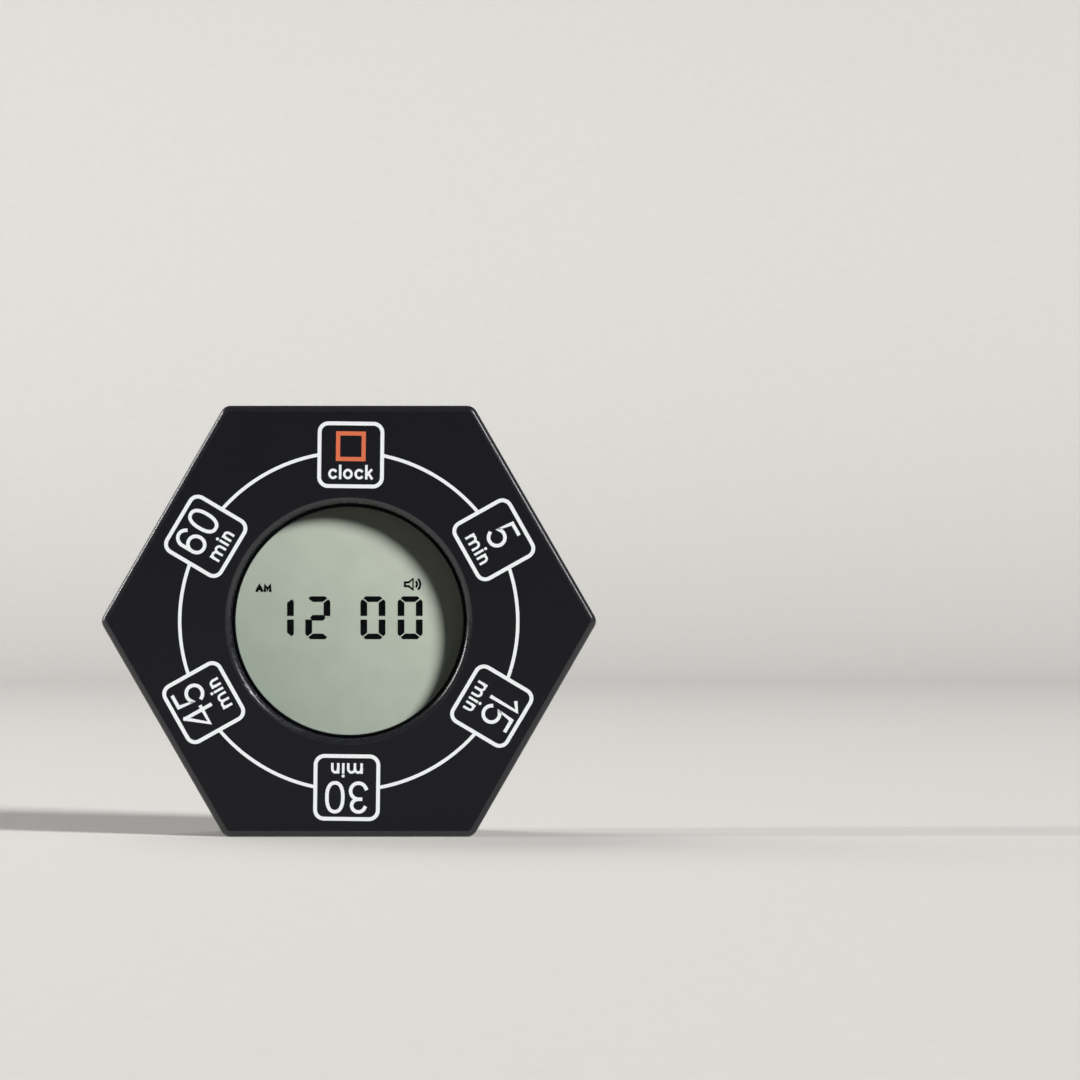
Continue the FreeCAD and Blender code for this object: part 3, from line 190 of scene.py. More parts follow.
def spark_eroded_abs(name, colour, roughness, gloss=0.3):
    """Black ABS moulded against spark-eroded steel: an even satin with a fine pebbled bloom.

    The real grain is near 0.05 mm; it is drawn at 0.3 mm, as coarse as it needs to show.
    """
    material, tree = new_material(name)
    pebble = grain(tree, 0.3 * MM, 3)
    handling = grain(tree, 14 * MM, 3)
    cast = grain(tree, 30 * MM, 1)
    shader = marked_shader(tree, {"IOR": 1.53, "Specular IOR Level": gloss},
                           shade=(cast, colour, 0.92, 1.08),
                           gloss=(handling, roughness - 0.015, roughness + 0.025),
                           relief=(pebble, 0.004 * MM, 0.5))
    return surfaced(material, shader)


def polished_plastic(name, colour, roughness=0.24, gloss=0.5):
    """Plastic from a polished cavity: smoother than the case, with faint flow streaks in its gloss."""
    material, tree = new_material(name)
    flow = grain(tree, 2.5 * MM, 2, (1, 1, 3))
    ripple = grain(tree, 0.8 * MM, 2)
    shader = marked_shader(tree, {"IOR": 1.53, "Specular IOR Level": gloss},
                           shade=(flow, colour, 0.9, 1.1),
                           gloss=(flow, roughness - 0.03, roughness + 0.05),
                           relief=(ripple, 0.001 * MM, 0.3))
    return surfaced(material, shader)


def printed_ink(name, colour):
    """Printing ink, cured satin: flat colour with the faint mottle that the mesh or plate leaves.

    The mesh's threads are near 0.1 mm apart; the mottle is drawn at 0.4 mm, as coarse as it needs to show.
    """
    material, tree = new_material(name)
    mottle = grain(tree, 0.4 * MM, 2)
    shader = marked_shader(tree, {"IOR": 1.5},
                           shade=(mottle, colour, 0.95, 1.03),
                           gloss=(mottle, 0.45, 0.55),
                           relief=(mottle, 0.002 * MM, 0.4))
    return surfaced(material, shader)


def clear_acrylic(name):
    """Cast acrylic with a thin coating against reflections: clear, and bright only towards the lamps.

    The coating is why its IOR is far below bare acrylic's 1.49: both faces throw back that much less.
    The display's own light and the lamps' pass straight through it, so the display isn't lit twice.
    """
    material, tree = new_material(name)
    wipe = grain(tree, 9 * MM, 2)
    acrylic = marked_shader(tree, {"Base Color": (1, 1, 1, 1), "IOR": 1.2, "Transmission Weight": 1.0},
                            gloss=(wipe, 0.0, 0.015))
    open_way = add_node(tree, "ShaderNodeBsdfTransparent")
    lighting = arriving(tree, "Is Shadow Ray", "Is Diffuse Ray")
    mixed = add_node(tree, "ShaderNodeMixShader", links={0: lighting, 1: acrylic, 2: open_way})
    return surfaced(material, mixed)


def display_film(name, colour, painted_lit_colour, painted_light_from):
    """A reflective display seen through its polarizer: grey-green, its colour painted lighter towards where
    the light comes from.

    The film's matt grain is near 0.03 mm; it is drawn at 0.35 mm, as coarse as it needs to show.
    """
    material, tree = new_material(name)
    # Painted light: the colour runs from the darker one to the lighter one along the way the light comes
    # from, on top of the lamps' own shading.
    towards_painted_light = Vector((math.cos(painted_light_from), 0, math.sin(painted_light_from)))
    middle = towards_painted_light.dot((DISPLAY_LOW + DISPLAY_HIGH) / 2)
    half = (DISPLAY_HIGH.x - DISPLAY_LOW.x) / 2
    place = add_node(tree, "ShaderNodeTexCoord")
    along = add_node(tree, "ShaderNodeVectorMath", {"operation": "DOT_PRODUCT", 1: towards_painted_light},
                     {0: place.outputs["Object"]})
    rise = add_node(tree, "ShaderNodeMapRange", {"From Min": middle - half, "From Max": middle + half},
                    {"Value": along.outputs["Value"]})
    painted_light_ramp = add_node(tree, "ShaderNodeValToRGB", {"stops": ((0, colour), (1, painted_lit_colour))}, {"Fac": rise})
    cells = grain(tree, 5 * MM, 3)
    mottle = add_node(tree, "ShaderNodeMapRange", {**MARKS_RANGE, "To Min": 0.97, "To Max": 1.03},
                      {"Value": cells})
    mottled = add_node(tree, "ShaderNodeVectorMath", {"operation": "SCALE"},
                       {"Vector": painted_light_ramp, "Scale": mottle})
    fine = grain(tree, 0.35 * MM, 2)
    shader = marked_shader(tree, {"IOR": 1.49, "Specular IOR Level": 0.2}, {"Base Color": mottled},
                           gloss=(cells, 0.42, 0.5), relief=(fine, 0.002 * MM, 0.4))
    return surfaced(material, shader)


def liquid_crystal(name, colour):
    """Driven segments: near black with a faint blue cast, and without a gloss of their own."""
    material, tree = new_material(name)
    cells = grain(tree, 1.2 * MM, 2)
    shader = marked_shader(tree, {"IOR": 1.49, "Specular IOR Level": 0.02},
                           shade=(cells, colour, 0.85, 1.15), gloss=(cells, 0.5, 0.6))
    return surfaced(material, shader)


def float_glass(name):
    """Display glass: clear float glass with a faint green body, ground at the edges."""
    material, tree = new_material(name)
    wipe = grain(tree, 12 * MM, 2)
    green_body = rgba(linear("#e8f2ec"))
    shader = marked_shader(tree, {"Base Color": green_body, "IOR": 1.52, "Transmission Weight": 0.9},
                           gloss=(wipe, 0.02, 0.06))
    return surfaced(material, shader)


def worked_metal(name, hex_colour, roughness, grain_mm, stretch=(1, 1, 1)):
    """A metal with the marks of its making, drawn out along one way where it was drawn or rolled.

    Real marks are finer than 0.1 mm; they are drawn at about 0.5 mm, as coarse as they need to show.
    """
    material, tree = new_material(name)
    marks = grain(tree, grain_mm * MM, 3, stretch)
    shader = marked_shader(tree, {"Metallic": 1.0},
                           shade=(marks, linear(hex_colour), 0.88, 1.06),
                           gloss=(marks, roughness - 0.06, roughness + 0.08),
                           relief=(marks, 0.002 * MM, 0.5))
    return surfaced(material, shader)


def grained_solid(name, hex_colour, roughness, grain_mm, depth_mm, ior=1.5):
    """A moulded, cast or fired surface with a grain of its own, even in all directions.

    Most real grain here is finer than 0.1 mm; it is drawn at 0.2 mm or more, as coarse as it needs to show.
    """
    material, tree = new_material(name)
    marks = grain(tree, grain_mm * MM, 3)
    shader = marked_shader(tree, {"IOR": ior},
                           shade=(marks, linear(hex_colour), 0.88, 1.1),
                           gloss=(marks, roughness - 0.06, roughness + 0.06),
                           relief=(marks, depth_mm * MM, 0.6))
    return surfaced(material, shader)


def solder_mask(name):
    """Glass-epoxy board under green solder mask: glossy, with copper tracks showing as paler lines."""
    material, tree = new_material(name)
    place = add_node(tree, "ShaderNodeTexCoord")
    stood_up = add_node(tree, "ShaderNodeMapping", {"Rotation": (math.pi / 2, 0, 0)},
                        {"Vector": place.outputs["Object"]})
    track_spacing = 12 * MM
    tracks = add_node(tree, "ShaderNodeTexBrick",
                      {"Scale": 1 / track_spacing, "Mortar Size": 0.03, "offset": 0.37,
                       "Color1": rgba(linear("#1d5c36")), "Color2": rgba(linear("#1a5531")),
                       "Mortar": rgba(linear("#2f7a4b"))}, {"Vector": stood_up})
    weave = grain(tree, 0.5 * MM, 1)
    shader = marked_shader(tree, {"IOR": 1.55}, {"Base Color": tracks},
                           gloss=(weave, 0.25, 0.35), relief=(weave, 0.004 * MM, 0.4))
    return surfaced(material, shader)


# A dry cell's bands from its minus end: where each starts, its colour and how metallic it is.
CELL_BANDS = ((0.0, "#b9b6ae", 1.0), (0.012, "#17181a", 0.0), (0.70, "#b4703c", 0.6), (0.955, "#b9b6ae", 1.0))


def cell_sleeve(name, node, positive):
    """A dry cell: dark shrink film with a copper-coloured band at its positive end, bare steel beyond it."""
    material, tree = new_material(name)
    low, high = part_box(node)
    start, end = (low.x, high.x) if positive > 0 else (high.x, low.x)
    place = add_node(tree, "ShaderNodeTexCoord")
    along = add_node(tree, "ShaderNodeSeparateXYZ", links={"Vector": place.outputs["Object"]})
    share = add_node(tree, "ShaderNodeMapRange", {"From Min": start, "From Max": end},
                     {"Value": along.outputs["X"]})
    bands = {"Base Color": [(at, linear(colour)) for at, colour, metal in CELL_BANDS],
             "Metallic": [(at, (metal, metal, metal)) for at, colour, metal in CELL_BANDS]}
    ramps = {}
    for use, stops in bands.items():
        ramps[use] = add_node(tree, "ShaderNodeValToRGB", {"stops": stops}, {"Fac": share})
        ramps[use].color_ramp.interpolation = "CONSTANT"
    wrap = grain(tree, 3 * MM, 2)
    shader = marked_shader(tree, {"IOR": 1.5}, ramps, gloss=(wrap, 0.24, 0.34),
                           relief=(wrap, 0.004 * MM, 0.4))
    return surfaced(material, shader)


# The floor fades into the room between these places in front of the timer, in metres.
FADE_START, FADE_END = -0.5, -1.7

# The floor throws light back on the timer as if its colour were this share of what the eye sees.
BOUNCE_SHARE = 0.1


def painted_floor(name, colour, glow, room):
    """Matt emulsion for the studio floor and wall, with the faint stipple that a roller leaves.

    The eye, gloss and glass meet it pale, and fading into the room far in front of the timer.
    What it throws back on the timer stays weak, as in a large room.
    """
    material, tree = new_material(name)
    stipple = grain(tree, 4 * MM, 2)
    shade = add_node(tree, "ShaderNodeValToRGB", {"stops": two_shades(colour, 0.99, 1.01)}, {"Fac": stipple})
    paint = add_node(tree, "ShaderNodeBsdfDiffuse", links={"Color": shade})
    light = add_node(tree, "ShaderNodeEmission", {"Color": rgba(colour), "Strength": glow})
    near = add_node(tree, "ShaderNodeAddShader", links={0: paint, 1: light})
    far = add_node(tree, "ShaderNodeEmission", {"Color": (1, 1, 1, 1), "Strength": room})
    place = add_node(tree, "ShaderNodeTexCoord")
    depth = add_node(tree, "ShaderNodeSeparateXYZ", links={"Vector": place.outputs["Object"]})
    fade = add_node(tree, "ShaderNodeMapRange",
                    {"interpolation_type": "SMOOTHSTEP", "From Min": FADE_START, "From Max": FADE_END},
                    {"Value": depth.outputs["Y"]})
    pale = add_node(tree, "ShaderNodeMixShader", links={0: fade, 1: near, 2: far})
    bounce = add_node(tree, "ShaderNodeBsdfDiffuse", {"Color": rgba(tinted(colour, BOUNCE_SHARE))})
    seen = arriving(tree, *SEEING_RAYS)
    mixed = add_node(tree, "ShaderNodeMixShader", links={0: seen, 1: bounce, 2: pale})
    return surfaced(material, mixed)


def wear(obj, material):
    """Give a solid one finish all over."""
    obj.data.materials.clear()
    obj.data.materials.append(material)


# Drawing in a plane

def laid_on(plane):
    """Puts artwork on a plane."""
    return lambda across, up, out: plane @ Vector((across, up, out))


def wrapped_on(node):
    """Puts artwork round a dry cell that lies across the case, its middle towards the back."""
    low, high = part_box(node)
    middle, radius = (low + high) / 2, (high.z - low.z) / 2
    return lambda across, up, out: Vector((middle.x - across,
                                           middle.y + (radius + out) * math.cos(up / radius),
                                           middle.z + (radius + out) * math.sin(up / radius)))


def in_millimetres(points, across=0.0, up=0.0):
    """Points given in millimetres from a place in metres."""
    return [(across + x * MM, up + y * MM) for x, y in points]


def arc(centre, reach, start, end, steps=20):
    """Points along part of an ellipse, its angles in degrees."""
    across, up = reach if isinstance(reach, tuple) else (reach, reach)
    angles = [math.radians(start + (end - start) * n / steps) for n in range(steps + 1)]
    return [(centre[0] + across * math.cos(a), centre[1] + up * math.sin(a)) for a in angles]


def oval(centre, reach, fullness, steps=48):
    """A closed loop between an ellipse (fullness 2) and a box."""
    loop = []
    for n in range(steps):
        a = 2 * math.pi * n / steps
        cos, sin = math.cos(a), math.sin(a)
        loop.append((centre[0] + reach[0] * math.copysign(abs(cos) ** (2 / fullness), cos),
                     centre[1] + reach[1] * math.copysign(abs(sin) ** (2 / fullness), sin)))
    return loop


def circle(centre, radius):
    """A closed loop of 24 points."""
    return arc(centre, radius, 0, 345, 23)


def corners(half):
    """A square's four corners round its middle, from the upper right."""
    return [(across * half, up * half) for across, up in ((1, 1), (-1, 1), (-1, -1), (1, -1))]


def rounded_square(half, corner):
    """A closed loop with four round corners."""
    loop = []
    for n, centre in enumerate(corners(half - corner)):
        loop += arc(centre, corner, 90 * n, 90 * n + 90, steps=8)
    return loop


def steps_between(start, end, count=8):
    """Evenly spaced points of a straight line, so that it can follow a curved surface."""
    return [tuple(Vector(start).lerp(Vector(end), n / count)) for n in range(count + 1)]


def side_points(points, width, closed):
    """The two edges of a line of even width, with mitred corners that never run far out."""
    longest_mitre, sharpest, nothing = 1.5, 0.2, 1e-6
    left, right = [], []
    count = len(points)
    spots = [Vector(point) for point in points]
    for n, here in enumerate(spots):
        before = spots[n - 1] if closed or n > 0 else None
        after = spots[(n + 1) % count] if closed or n < count - 1 else None
        come = (here - before).normalized() if before is not None else None
        leave = (after - here).normalized() if after is not None else None
        come, leave = come or leave, leave or come
        lean = come + leave
        lean = lean.normalized() if lean.length > nothing else come
        normal = Vector((-lean.y, lean.x))
        square = Vector((-come.y, come.x)).dot(normal)
        reach = width / 2 * min(longest_mitre, 1 / max(square, sharpest))
        left.append(here + normal * reach)
        right.append(here - normal * reach)
    return left, right


def join_rings(mesh, one, other):
    """Close the wall between two rings of as many corners."""
    for n in range(len(one)):
        following = (n + 1) % len(one)
        mesh.faces.new((one[n], other[n], other[following], one[following]))


def as_data(name, mesh):
    """Keep a drawn mesh under a name."""
    data = bpy.data.meshes.new(name)
    mesh.to_mesh(data)
    mesh.free()
    return data


def new_object(name, data):
    """Set something in the scene."""
    obj = bpy.data.objects.new(name, data)
    bpy.context.scene.collection.objects.link(obj)
    return obj


def piece(name, mesh, material, body):
    """Close a mesh into a named piece that rides on a body."""
    bmesh.ops.recalc_face_normals(mesh, faces=mesh.faces)
    obj = new_object(name, as_data(name, mesh))
    obj.data.materials.append(material)
    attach(obj, body)
    return obj


def smooth(obj, angle):
    """Round shading, kept sharp at edges steeper than the angle in degrees."""
    for polygon in obj.data.polygons:
        polygon.use_smooth = True
    obj.data.set_sharp_from_angle(angle=math.radians(angle))


class Artwork:
    """Thin raised lines and shapes that make one piece, between two levels."""

    def __init__(self, low=INK_FOOT, high=INK_TOP):
        self.mesh = bmesh.new()
        self.low = low
        self.high = high

    def stroke(self, put, points, width, closed=False, square_ends=True, raised=0.0):
        """A line that follows points."""
        if not closed and square_ends:
            first, second = Vector(points[0]), Vector(points[1])
            last, before = Vector(points[-1]), Vector(points[-2])
            points = [tuple(first + (first - second).normalized() * width / 2), *points[1:-1],
                      tuple(last + (last - before).normalized() * width / 2)]
        left, right = side_points(points, width, closed)
        low, high = self.low, self.high + raised
        rings = []
        for a, b in zip(left, right):
            rings.append([self.mesh.verts.new(put(*spot, level))
                          for spot, level in ((a, high), (b, high), (b, low), (a, low))])
        pairs = list(zip(rings, rings[1:]))
        if closed:
            pairs.append((rings[-1], rings[0]))
        else:
            self.mesh.faces.new(rings[0])
            self.mesh.faces.new(reversed(rings[-1]))
        for one, other in pairs:
            join_rings(self.mesh, one, other)

    def slab(self, put, outline):
        """A filled shape with a closed outline."""
        top, bottom = ([self.mesh.verts.new(put(*point, level)) for point in outline]
                       for level in (self.high, self.low))
        self.mesh.faces.new(top)
        self.mesh.faces.new(reversed(bottom))
        join_rings(self.mesh, top, bottom)

    def word(self, put, text, signs, size, width, gap, middle, base):
        """Lines of a word, centred across a middle and standing on a base line.

        Each line of a sign lies a hair above the one before, so that no two faces share a level.
        """
        hair, dot_height, dot_radius = 0.001 * MM, 1.46 * size, 0.62 * width
        widths = [signs[sign][0] * size for sign in text]
        left = middle - (sum(widths) + gap * (len(text) - 1)) / 2
        for sign, advance in zip(text, widths):
            for count, (points, closed) in enumerate(signs[sign][1]):
                moved = [(left + across * size, base + up * size) for across, up in points]
                self.stroke(put, moved, width, closed, raised=count * hair)
            if sign == "i":
                self.slab(put, circle((left, base + dot_height), dot_radius))
            left += advance + gap

    def finish(self, name, material, slot):
        """Make the piece, which rides on the case."""
        piece(name, self.mesh, material, "case")


# Lettering: a sign is its width and its lines, each with True where it closes, on a grid one unit tall

def digit_strokes():
    """Numerals of the face: thin, round and open, one unit tall between the middles of their lines."""
    return {
        "0": (0.554, [(oval((0.277, 0.5), (0.277, 0.5), 2.35), True)]),
        "1": (0.250, [([(0.0, 0.82), (0.250, 1.0), (0.250, 0.0)], False)]),
        "3": (0.549, [(arc((0.273, 0.779), (0.235, 0.221), 160, -90) + [(0.20, 0.557)], False),
                      ([(0.20, 0.557)] + arc((0.274, 0.2785), (0.275, 0.2785), 90, -160), False)]),
        "4": (0.640, [([(0.640, 0.317), (0.0, 0.317), (0.541, 1.0)], False),
                      ([(0.541, 0.98), (0.541, 0.0)], False)]),
        "5": (0.532, [([(0.499, 1.0), (0.085, 1.0)] + arc((0.247, 0.285), 0.285, 142, -150, 30), False)]),
        "6": (0.554, [(arc((0.277, 0.70), (0.277, 0.30), 32, 180) + [(0.0, 0.295)], False),
                      (oval((0.277, 0.295), (0.277, 0.295), 2.05), True)]),
    }


def letter_strokes():
    """Letters of the labels and the display: small ones are one unit tall up to the x-height."""
    def arch(start, reach):
        """The shoulder of an m or n, and its leg."""
        return ([(start, 0.55)] + arc((start + reach / 2, 0.55), (reach / 2, 0.45), 180, 0, 14)
                + [(start + reach, 0.0)])

    stem, tall_stem = [(0, 0), (0, 1)], [(0, 0), (0, 1.5)]
    return {
        "m": (1.66, [(stem, False), (arch(0, 0.83), False), (arch(0.83, 0.83), False)]),
        "i": (0.0, [(stem, False)]),
        "n": (0.74, [(stem, False), (arch(0, 0.74), False)]),
        "c": (0.82, [(arc((0.45, 0.5), (0.45, 0.5), 48, 312), False)]),
        "l": (0.0, [(tall_stem, False)]),
        "o": (0.90, [(oval((0.45, 0.5), (0.45, 0.5), 2.0, 32), True)]),
        "k": (0.66, [(tall_stem, False), ([(0.04, 0.36), (0.60, 1.0)], False),
                     ([(0.26, 0.58), (0.66, 0.0)], False)]),
        "A": (0.92, [([(0, 0), (0.46, 1), (0.92, 0)], False), ([(0.2, 0.3), (0.72, 0.3)], False)]),
        "M": (1.0, [([(0, 0), (0, 1), (0.5, 0.2), (1.0, 1), (1.0, 0)], False)]),
    }


# Settings

def a_length(name, millimetres, description):
    """A length that a user can change, given in millimetres."""
    return FloatProperty(name=name, description=description, default=millimetres * MM,
                         unit="LENGTH", precision=5)


def an_angle(name, degrees, description):
    """An angle that a user can change, given in degrees."""
    return FloatProperty(name=name, description=description, default=math.radians(degrees), unit="ROTATION")


def a_share(name, default, description):
    """A number from nothing to one that a user can change."""
    return FloatProperty(name=name, description=description, default=default, min=0, max=1, subtype="FACTOR")


def a_strength(name, default, description, **kind):
    """An amount of light that a user can change."""
    return FloatProperty(name=name, description=description, default=default, min=0, **kind)


def a_colour(name, hex_colour, description):
    """A colour that a user can change."""
    return FloatVectorProperty(name=name, description=description, default=linear(hex_colour),
                               subtype="COLOR", min=0, max=1)


class FacePrintSettings(bpy.types.PropertyGroup):
    """The print on the face."""
    ink_thickness: a_length("Ink thickness", 0.02, "How far the print stands proud")
    ring_radius: a_length("Ring radius", 31.35, "Middle of the printed ring's line")
    ring_width: a_length("Ring width", 0.63, "Width of the ring's line")
    label_radius: a_length("Label radius", 30.85, "From the middle of the face to a label's")
    label_half: a_length("Label half size", 5.82, "Half of a label's outline, at its line")
    label_corner: a_length("Label corner", 1.65, "Corner radius of a label's outline")
    label_width: a_length("Label line", 0.71, "Width of a label's outline")
    label_turn: an_angle("Label turn", 0.7, "How far the print is turned clockwise")
    digit_height: a_length("Digit height", 6.0, "Height of the numerals, edge to edge")
    digit_width: a_length("Digit line", 0.66, "Width of the numerals' lines")
    digit_gap: a_length("Digit gap", 1.42, "Between the lines of two numerals")
    digit_base: a_length("Digit base", -1.17, "Lower edge of the numerals, from the label's middle")
    letter_height: a_length("Letter height", 1.95, "Height of a small letter, edge to edge")
    letter_width: a_length("Letter line", 0.46, "Width of the small letters' lines")
    letter_gap: a_length("Letter gap", 0.93, "Between the lines of two small letters")
    clock_gap: a_share("Clock gap", 0.82, "The letter gap of the word clock, as a share of the other's")
    letter_base: a_length("Letter base", -4.53, "Lower edge of the small letters, from the label's middle")
    symbol_half: a_length("Symbol half size", 2.37, "Half of the clock label's square, at its line")
    symbol_height: a_length("Symbol height", 1.6, "Middle of the square above the label's")
    symbol_width: a_length("Symbol line", 0.78, "Width of the square's line")
    white: a_colour("White", "#f8fafb", "Colour of the print")
    orange: a_colour("Orange", "#e2744f", "Colour of the clock label's square")


class DisplaySettings(bpy.types.PropertyGroup):
    """The display behind the window."""
    digit_height: a_length("Digit height", 8.0, "Height of a display digit")
    digit_width: a_length("Digit width", 4.65, "Width of a display digit")
    upright_width: a_length("Upright width", 1.25, "Width of a digit's upright segments")
    level_width: a_length("Level width", 1.05, "Width of a digit's level segments")
    segment_gap: a_length("Segment gap", 0.22, "Between two segments of a digit")
    middle_gap: a_length("Middle gap", 0.66, "Between a digit's upper and lower uprights")
    corner_cut: a_length("Corner cut", 0.95, "How much of a digit's corners is cut off")
    base: a_length("Base", -3.42, "Lower edge of the digits, from the window's middle")
    shown: StringProperty(name="Shown", description="What the four digits show", default="1200")
    # The film's two colours paint light onto it: darker at the lower left, painted lighter towards the upper
    # right, where the light comes from.
    background: a_colour("Background", "#9eaa9c", "The display's colour at its lower left")
    painted_lit_background: a_colour("Lit background", "#c9d0c1", "The display's colour at its upper right")
    painted_light_from: an_angle("Light from", 45, "Which way the display gets lighter, from level")
    segments: a_colour("Segments", "#030405", "Colour of the driven segments")


class FinishSettings(bpy.types.PropertyGroup):
    """The case and its buttons."""
    case: a_colour("Case", "#0b0c13", "Colour of the case")
    case_roughness: a_share("Case roughness", 0.32, "Roughness of the case's satin")
    edge_roughness: a_share("Edge roughness", 0.27, "Roughness along the edges")
    edge_gloss: a_share("Edge gloss", 0.8, "Strength of the reflections along the edges")
    well_roughness: a_share("Well roughness", 0.55, "Roughness of the window well's wall")
    well_gloss: a_share("Well gloss", 0.05, "Strength of the reflections in the window well's wall")
    well_reach: a_length("Well reach", 21.94, "Inner radius of the window's polished rim")
    rim_reach: a_length("Rim reach", 22.97, "Outer radius of the window's polished rim")
    outline_reach: a_length("Outline reach", 36.0, "The case's outer edges lie beyond this radius")
    buttons: a_colour("Buttons", "#1d1e22", "Colour of the buttons")


class StudioSettings(bpy.types.PropertyGroup):
    """The camera, the lamps and the floor."""
    lens: FloatProperty(name="Lens", description="Focal length of the camera", default=200, unit="CAMERA")
    view_width: a_length("View width", 200.3, "Width of the picture at the timer's face")
    across: a_length("Across", 35.47, "How far the camera stands right of the timer")
    height: a_length("Height", 55.06, "Height of the camera above the floor")
    key_irradiance: a_strength("Key", 3.75, "Strength of the key lamp, which casts the shadows")
    glint_irradiance: a_strength("Glint", 0.9, "Strength of the key lamp's part that also glints")
    key_angle: an_angle("Key angle", 14, "Width of the key lamp, seen from the timer")
    fill_irradiance: a_strength("Fill", 1.7, "Strength of the wide lamp that lights the back")
    fill_angle: an_angle("Fill angle", 50, "Width of the fill lamp, seen from the timer")
    side_power: a_strength("Side window", 14.0, "Power of the window at the left", unit="POWER")
    back_power: a_strength("Back window", 7.0, "Power of the window at the left behind", unit="POWER")
    sky: a_strength("Sky", 0.04, "Strength of the even light from all round")
    room: a_share("Room", 0.18, "How pale the room is where the floor ends")
    floor: a_colour("Floor", "#c2c0bc", "Colour of floor and backdrop")
    floor_glow: a_strength("Floor glow", 0.06, "How much paler the floor is to the eye")


SETTINGS = {
    "timer_print": FacePrintSettings,
    "timer_display": DisplaySettings,
    "timer_finish": FinishSettings,
    "timer_studio": StudioSettings,
}


# Operators

# The finishes of each half of the case, in the order of its slots.
SATIN, EDGES, WELL = range(3)


class TIMER_OT_case(bpy.types.Operator):
    """Give the case and the battery door their satin, smoother on edges and duller in the window's well."""
    bl_idname = "timer.case"
    bl_label = "Case"

    def execute(self, context):
        look = context.scene.timer_finish
        satin = spark_eroded_abs("spark_eroded_abs_case", look.case, look.case_roughness)
        # Handling has rubbed the edges smoother, so they catch thin lines of light.
        edges = polished_plastic("polished_abs_edges", look.case, look.edge_roughness, look.edge_gloss)
        # The well's wall is eroded deeper, so that it stays black beside the display.
        well = spark_eroded_abs("spark_eroded_abs_well", look.case, look.well_roughness, look.well_gloss)
        lens_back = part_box("window_lens")[1].y
        wear(NODES["battery_door"], satin)
        for name in ("front_shell", "rear_shell"):
            shell = NODES[name].data
            wear(NODES[name], satin)
            shell.materials.append(edges)
            shell.materials.append(well)
            for polygon in shell.polygons:
                lean = abs(polygon.normal.y)
                reach = math.hypot(polygon.center.x, polygon.center.z - CENTRE_Z)
                in_window = reach < look.rim_reach and polygon.center.y < lens_back and lean < FLAT_LEAN
                on_outline = reach > look.outline_reach and SIDE_LEAN < lean < FLAT_LEAN
                if in_window and reach < look.well_reach:
                    polygon.material_index = WELL
                elif in_window or on_outline:
                    polygon.material_index = EDGES
                else:
                    polygon.material_index = SATIN
        return {"FINISHED"}


class TIMER_OT_window(bpy.types.Operator):
    """Make the round window clear, with its edge blacked so that no light leaks round the display."""
    bl_idname = "timer.window"
    bl_label = "Window"

    def execute(self, context):
        lens = NODES["window_lens"]
        clear, blacked = range(2)
        wear(lens, clear_acrylic("cast_acrylic_clear"))
        # Matt black lacquer, brushed on: its faint streaks drown what light gets into the edge.
        lens.data.materials.append(grained_solid("brushed_on_edge_black", "#060608", 0.5, 0.5, 0.004))
        for polygon in lens.data.polygons:
            polygon.material_index = clear if abs(polygon.normal.y) > FLAT_LEAN else blacked
        return {"FINISHED"}


class TIMER_OT_face_print(bpy.types.Operator):
    """Print the ring, the six labels and their numerals on the face."""
    bl_idname = "timer.face_print"
    bl_label = "Face print"

    def execute(self, context):
        look = context.scene.timer_print
        white = printed_ink("screen_print_white", look.white)
        orange = printed_ink("screen_print_orange", look.orange)
        labels = {90: "clock", 30: "5", -30: "15", -90: "30", -150: "45", 150: "60"}
        ring, outlines, numerals, words, symbol = (
            Artwork(-look.ink_thickness / 2, look.ink_thickness) for _ in range(5))

        face = laid_on(FACE_PLANE)
        half_label = math.degrees(math.asin((look.label_half - look.label_width / 4) / look.ring_radius))
        between_labels = 360 / len(labels)
        for angle in labels:
            start = angle - math.degrees(look.label_turn) + half_label
            points = arc((0, 0), look.ring_radius, start, start + between_labels - 2 * half_label,
                         steps=32)
            ring.stroke(face, points, look.ring_width, square_ends=False)

        digits, letters = digit_strokes(), letter_strokes()
        digit_size = look.digit_height - look.digit_width
        letter_size = look.letter_height - look.letter_width
        for angle, text in labels.items():
            lean = Matrix.Rotation(math.radians(angle - 90) - look.label_turn, 4, "Z")
            put = laid_on(FACE_PLANE @ lean @ Matrix.Translation((0, look.label_radius, 0)))
            outlines.stroke(put, rounded_square(look.label_half, look.label_corner), look.label_width,
                            closed=True, raised=look.ink_thickness / 4)
            below, gap = "min", look.letter_gap
            if text == "clock":
                below, gap = text, look.letter_gap * look.clock_gap
                square = [(across, look.symbol_height + up) for across, up in corners(look.symbol_half)]
                symbol.stroke(put, square, look.symbol_width, closed=True)
            else:
                numerals.word(put, text, digits, digit_size, look.digit_width, look.digit_gap, 0,
                              look.digit_base + look.digit_width / 2)
            words.word(put, below, letters, letter_size, look.letter_width, gap, 0,
                       look.letter_base + look.letter_width / 2)
        ring.finish("printed_ring", white, "case_plastic")
        outlines.finish("printed_label_outlines", white, "case_plastic")
        numerals.finish("printed_numerals", white, "case_plastic")
        words.finish("printed_words", white, "case_plastic")
        symbol.finish("printed_clock_symbol", orange, "case_plastic")
        return {"FINISHED"}


# The display's four digits stand with their middles at these places across it.
DIGIT_MIDDLES = (-12.7 * MM, -5.9 * MM, 4.36 * MM, 11.29 * MM)
LIT_SEGMENTS = {"0": "abcdef", "1": "bc", "2": "abged", "3": "abgcd", "4": "fgbc", "5": "afgcd",
                "6": "afgedc", "7": "abc", "8": "abcdefg", "9": "abcdfg"}

# How the half-day letters are set: their height and line, the gap between them, and where they stand.
HALF_DAY = {"size": 0.96 * MM, "width": 0.55 * MM, "gap": 0.6 * MM, "middle": -16.0 * MM, "base": 5.66 * MM}

